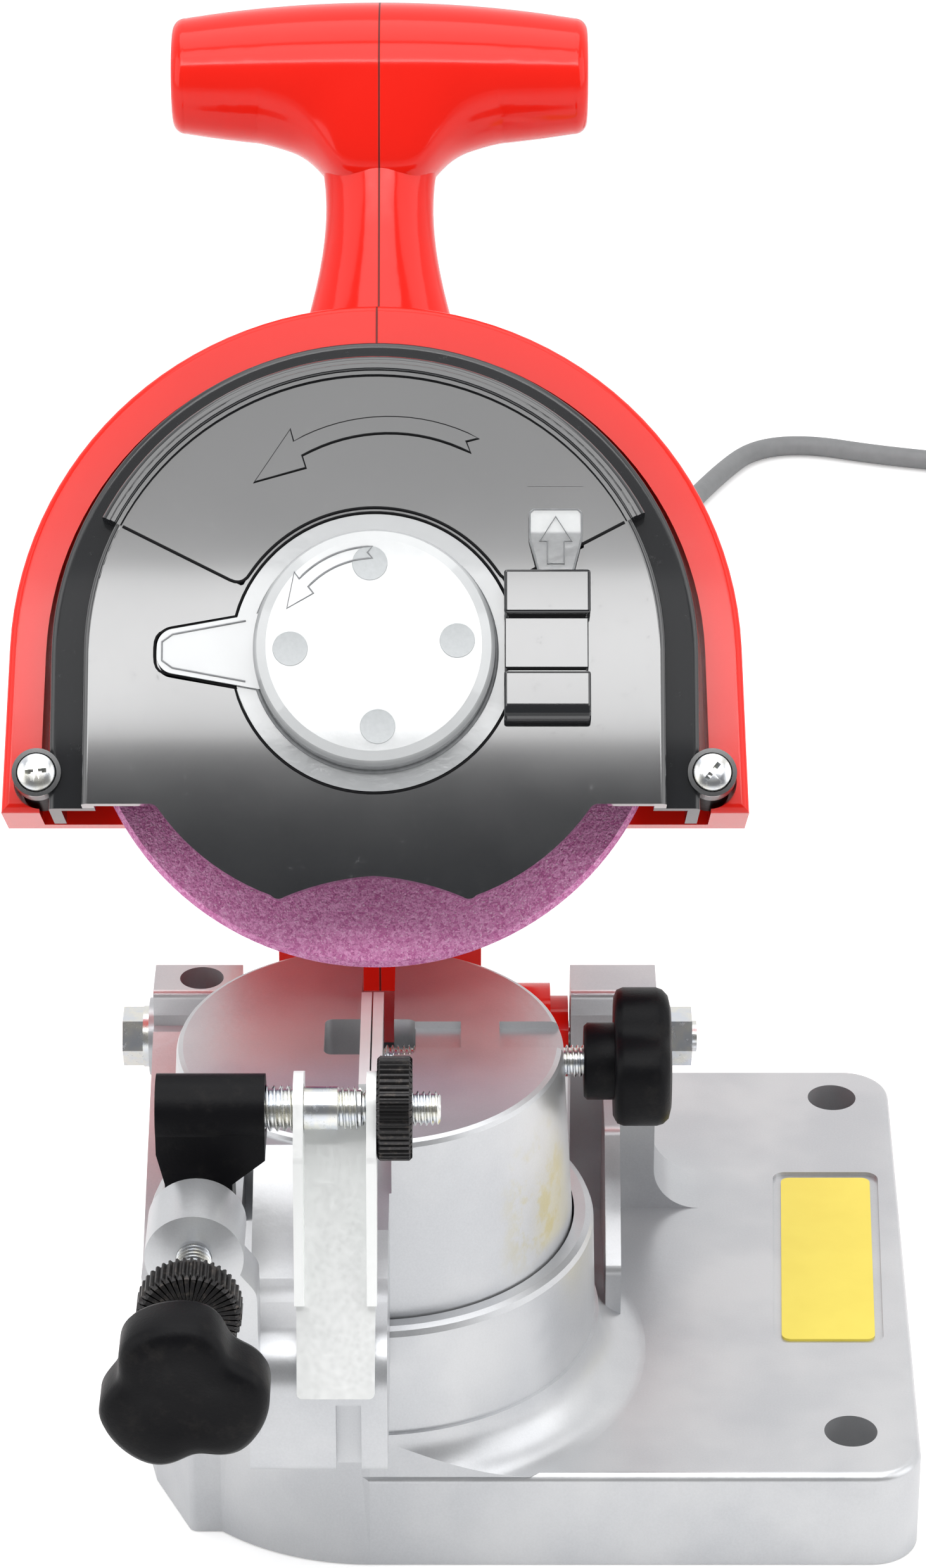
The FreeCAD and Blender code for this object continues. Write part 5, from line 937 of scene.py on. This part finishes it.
def cord_gland():
    """Strain relief boot: tapered, with rings and a flange at the housing."""
    profile = [(gland_bore, gland_length), (gland_tip, gland_length)]
    for ring in range(6):
        near = 24.2 - ring * 3.6
        reach = gland_tip + gland_widens * (gland_length - near) / gland_length
        profile += [(reach + 0.1, near + 1.1), (reach - 0.9, near + 0.8), (reach - 0.9, near - 0.4),
                    (reach + 0.2, near - 0.8)]
    profile += [(5.6, 2.2), (6.2, 2.0), (6.4, 1.6), (6.4, 0.0), (gland_bore, 0.0)]
    shape = turned_shape(profile, 48)
    place = frame_of(wheel_centre + gland_root * MM, right, -up_head, -wheel_axis)
    return piece("cord_gland_boot", shape, place, "head", "black_plastic", ["cord_gland"], sharp=40)


def depth_screw():
    """Depth stop screw behind the hinge, with its knurled knob."""
    low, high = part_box("depth_stop_screw")
    length, knob_thick = (high[1] - low[1]) / MM, 7.0
    shape = bmesh.new()
    add_thread(shape, 3.0, 0, length - knob_thick * 0.5, 1.0)
    knob = knurled_shape(8.0, 2.0, knob_thick, 36, 0.5)
    bmesh.ops.translate(knob, vec=(0, 0, length - knob_thick), verts=knob.verts)
    pour(knob, shape)
    add_rod(shape, 3.0, length - 2.0, length, 0.3, 24)
    place = frame_of(Vector((depth_axis.x, low[1], depth_axis.z)), up, right, back)
    return piece("depth_screw_knurled", shape, place, "depth_screw", "zinc_steel", ["depth_stop_screw"], sharp=25)


# Mains cord: the free stretch, the put-away coil and its tail to the plug, on one line

cord_radius, cord_gap = 2.6, 0.6
coil_inner_radius = 27.0
coil_turns_in, coil_turns_out = 3.0, 2.5
coil_tail = 54.0
coil_climb_step = 1.8
coil_heading = math.radians(-27.8)
cord_start = (wheel_centre - swivel) / MM + gland_root - wheel_axis * gland_length
coil_entry = Vector((222.0, 414.0, cord_radius))
cord_drops = ((2.5, 156.0, 25.6), (4.8, 175.0, 13.6), (7.5, 197.0, 6.4), (12.5, 223.0, 3.2))
cord_lies = ((19.0, 253.0), (30.0, 290.0), (44.0, 334.0), (60.0, 377.0), (75.0, 414.0), (86.5, 438.5),
             (95.5, 453.0), (110.0, 456.5), (129.0, 449.0), (156.0, 442.5), (191.04, 430.32))
cord_points = [cord_start, cord_start - wheel_axis * 17, *map(Vector, cord_drops),
               *(Vector((x, y, cord_radius)) for x, y in cord_lies), coil_entry]


def coil_points():
    """Points of the coil: turns inwards, half a turn up to the next layer, turns outwards, the tail."""
    pitch = 2 * cord_radius + cord_gap
    outer = coil_inner_radius + pitch * coil_turns_in + coil_climb_step
    start_angle = coil_heading + math.pi / 2
    centre = coil_entry - Vector((outer * math.cos(start_angle), outer * math.sin(start_angle), 0))
    per_turn = 16
    bow = 1 / math.cos(math.pi / per_turn) ** 0.5
    found = []

    def station(turned, radius, height):
        """One point, from its turns since the entry."""
        angle = start_angle - TURN * turned
        found.append(centre + Vector((bow * radius * math.cos(angle), bow * radius * math.sin(angle), height)))

    steps_in = int(coil_turns_in * per_turn)
    for index in range(1, steps_in + 1):
        turned = index / per_turn
        last_turn = max(turned + 1 - coil_turns_in, 0)
        station(turned, outer - pitch * turned - coil_climb_step * last_turn, 0)
    climb = per_turn // 2
    for index in range(1, climb):
        rise = 0.5 - 0.5 * math.cos(math.pi * index / climb)
        station(coil_turns_in + index / per_turn, coil_inner_radius, pitch * rise)
    steps_out = int(coil_turns_out * per_turn)
    for index in range(steps_out + 1):
        turned = index / per_turn
        station(coil_turns_in + 0.5 + turned,
                coil_inner_radius + pitch * turned + coil_climb_step * min(turned, 1), pitch)
    last_angle = start_angle - TURN * (coil_turns_in + 0.5 + coil_turns_out)
    heading = Vector((math.sin(last_angle), -math.cos(last_angle), 0))
    radius = coil_inner_radius + pitch * coil_turns_out + coil_climb_step
    end = centre + Vector((radius * math.cos(last_angle), radius * math.sin(last_angle), pitch))
    for share in (0.3, 0.65, 1.0):
        found.append(end + heading * coil_tail * share)
    return found


def cord_mesh(points, radius):
    """The cord's route as a mesh: a round tube, or its bare line where the radius is zero."""
    curve = bpy.data.curves.new("route", "CURVE")
    curve.dimensions = "3D"
    line = curve.splines.new("NURBS")
    line.points.add(len(points) - 1)
    for point, place in zip(line.points, points):
        point.co = (*(place * MM), 1)
    line.order_u = 3
    line.use_endpoint_u = True
    line.resolution_u = 6
    curve.bevel_depth = radius * MM
    curve.bevel_resolution = 6
    curve.use_fill_caps = radius > 0
    return mesh_of_curve(curve)


def mains_cord():
    """The cord leaves the tilting head and lies on the bench; its free stretch is drawn as one fixed curve between
    the two.
    """
    points = [swivel / MM + point for point in cord_points + coil_points()]
    cable = linked("mains_cord", cord_mesh(points, cord_radius))
    soften(cable.data, 60)
    paint(cable, finishes["grey_rubber"])
    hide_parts("cord", "cord_coil")
    tuple(points[0] * MM)
    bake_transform(cable)
    tuple(points[0] * MM)
    [tuple(vert.co) for vert in cord_mesh(points, 0).vertices]
    return cable


# The pieces of the frame in their finishes

for node, thing in frame["nodes"].items():
    paint(thing, finishes[slot_of[node]])
for node in ("chain_stop_flap", "fixed_clamp_plate", "moving_clamp_plate"):
    paint(frame["nodes"][node], sheet_finish)
for node in ("outer_flange", "wheel_nut"):
    paint(frame["nodes"][node], white_finish)
paint(frame["nodes"]["spindle_cover"], milky_finish)

for make in (clamp_screw, adjuster_screw, stop_rod, thumb_nut, lock_nut, guard_screws, adjuster_knob, clamp_knob,
             handle_flare, guard_arrow, fan_edge, cover_joint, cover_foot, cover_latch, cover_arrow, tab_arrow,
             cover_marks, cord_gland, depth_screw, mains_cord):
    make()


# Camera, lights and floor

photo_height, focal_length = 2476, 7900
film_height = 36.0
camera_place, camera_dips = Vector((17.0, -787.0, 555.2)), 27.85
lamp_reach = 1.1


def photo_camera():
    """The camera of the photo. Its focal length is in the photo's pixels."""
    data = bpy.data.cameras.new("camera")
    data.sensor_fit = "VERTICAL"
    data.sensor_height = film_height
    data.lens = focal_length / photo_height * film_height
    data.clip_start, data.clip_end = 0.05, 20
    camera = linked("camera", data)
    camera.location = swivel + camera_place * MM
    camera.rotation_euler = (math.radians(90 - camera_dips), 0, 0)
    bpy.context.scene.camera = camera


def room():
    """White where it is seen, a softer light elsewhere that is dimmer behind the camera."""
    world = bpy.data.worlds.new("world")
    bpy.context.scene.world = world
    world.use_nodes = True
    nodes = Nodes(world.node_tree)
    way = nodes.node("ShaderNodeSeparateXYZ", None, {0: nodes.node("ShaderNodeTexCoord", out="Generated")}, "Y")
    light = nodes.node("ShaderNodeMapRange", None, {
        "Value": way, "From Min": -0.6, "From Max": 0.25, "To Min": 0.20, "To Max": 0.95}, "Result")
    background = world.node_tree.nodes["Background"]
    nodes.join(background.inputs["Color"], (1, 1, 1, 1))
    nodes.join(background.inputs["Strength"], nodes.seen_directly().larger(light))


def lamp(name, place, aim, wide, tall, power):
    """Rectangular soft light that faces the aim."""
    light = bpy.data.lights.new(name, "AREA")
    light.shape = "RECTANGLE"
    light.size, light.size_y = wide, tall
    light.energy = power
    thing = linked(name, light)
    thing.location = place
    thing.rotation_mode = "QUATERNION"
    thing.rotation_quaternion = (Vector(aim) - Vector(place)).to_track_quat("-Z", "Y")


def lamps():
    """A box above, a soft one at each side, and two over the camera that the guard's face mirrors."""
    lamp("top_box", (0.0, 0.25, 1.3), (0, 0, 0.1), 1.2, 0.8, 5.0)
    lamp("left_strip", (-1.0, -0.45, 0.6), (0, 0, 0.12), 1.0, 1.0, 4.5)
    lamp("right_strip", (1.0, -0.35, 0.6), (0, 0, 0.12), 1.0, 1.0, 4.5)
    for name, low, high, power in (("face_box", 52.4, 78.0, 4.6), ("face_strip", 48.9, 52.4, 1.9)):
        low, high = math.radians(low), math.radians(high)
        lift = (low + high) / 2
        place = wheel_centre + lamp_reach * Vector((0, -math.cos(lift), math.sin(lift)))
        lamp(name, place, wheel_centre, lamp_reach, 2 * lamp_reach * math.tan((high - low) / 2), power)


def floor_sheet():
    """A wide pale floor that shows white and keeps the shadow."""
    shape = bmesh.new()
    bmesh.ops.create_grid(shape, x_segments=2, y_segments=2, size=6.0)
    floor = linked("floor", mesh_of("floor", shape))
    floor.location = (0, 0, -0.0003)
    paper = Finish("floor_paper", (0.90, 0.90, 0.90), 0.7, Specular_IOR_Level=0.2)
    paper.set("Emission Color", (1, 1, 1, 1))
    paper.set("Emission Strength", 0.32 * paper.seen_directly())
    paint(floor, paper.material)


bpy.context.scene.view_settings.view_transform = "Standard"
photo_camera()
room()
lamps()
floor_sheet()
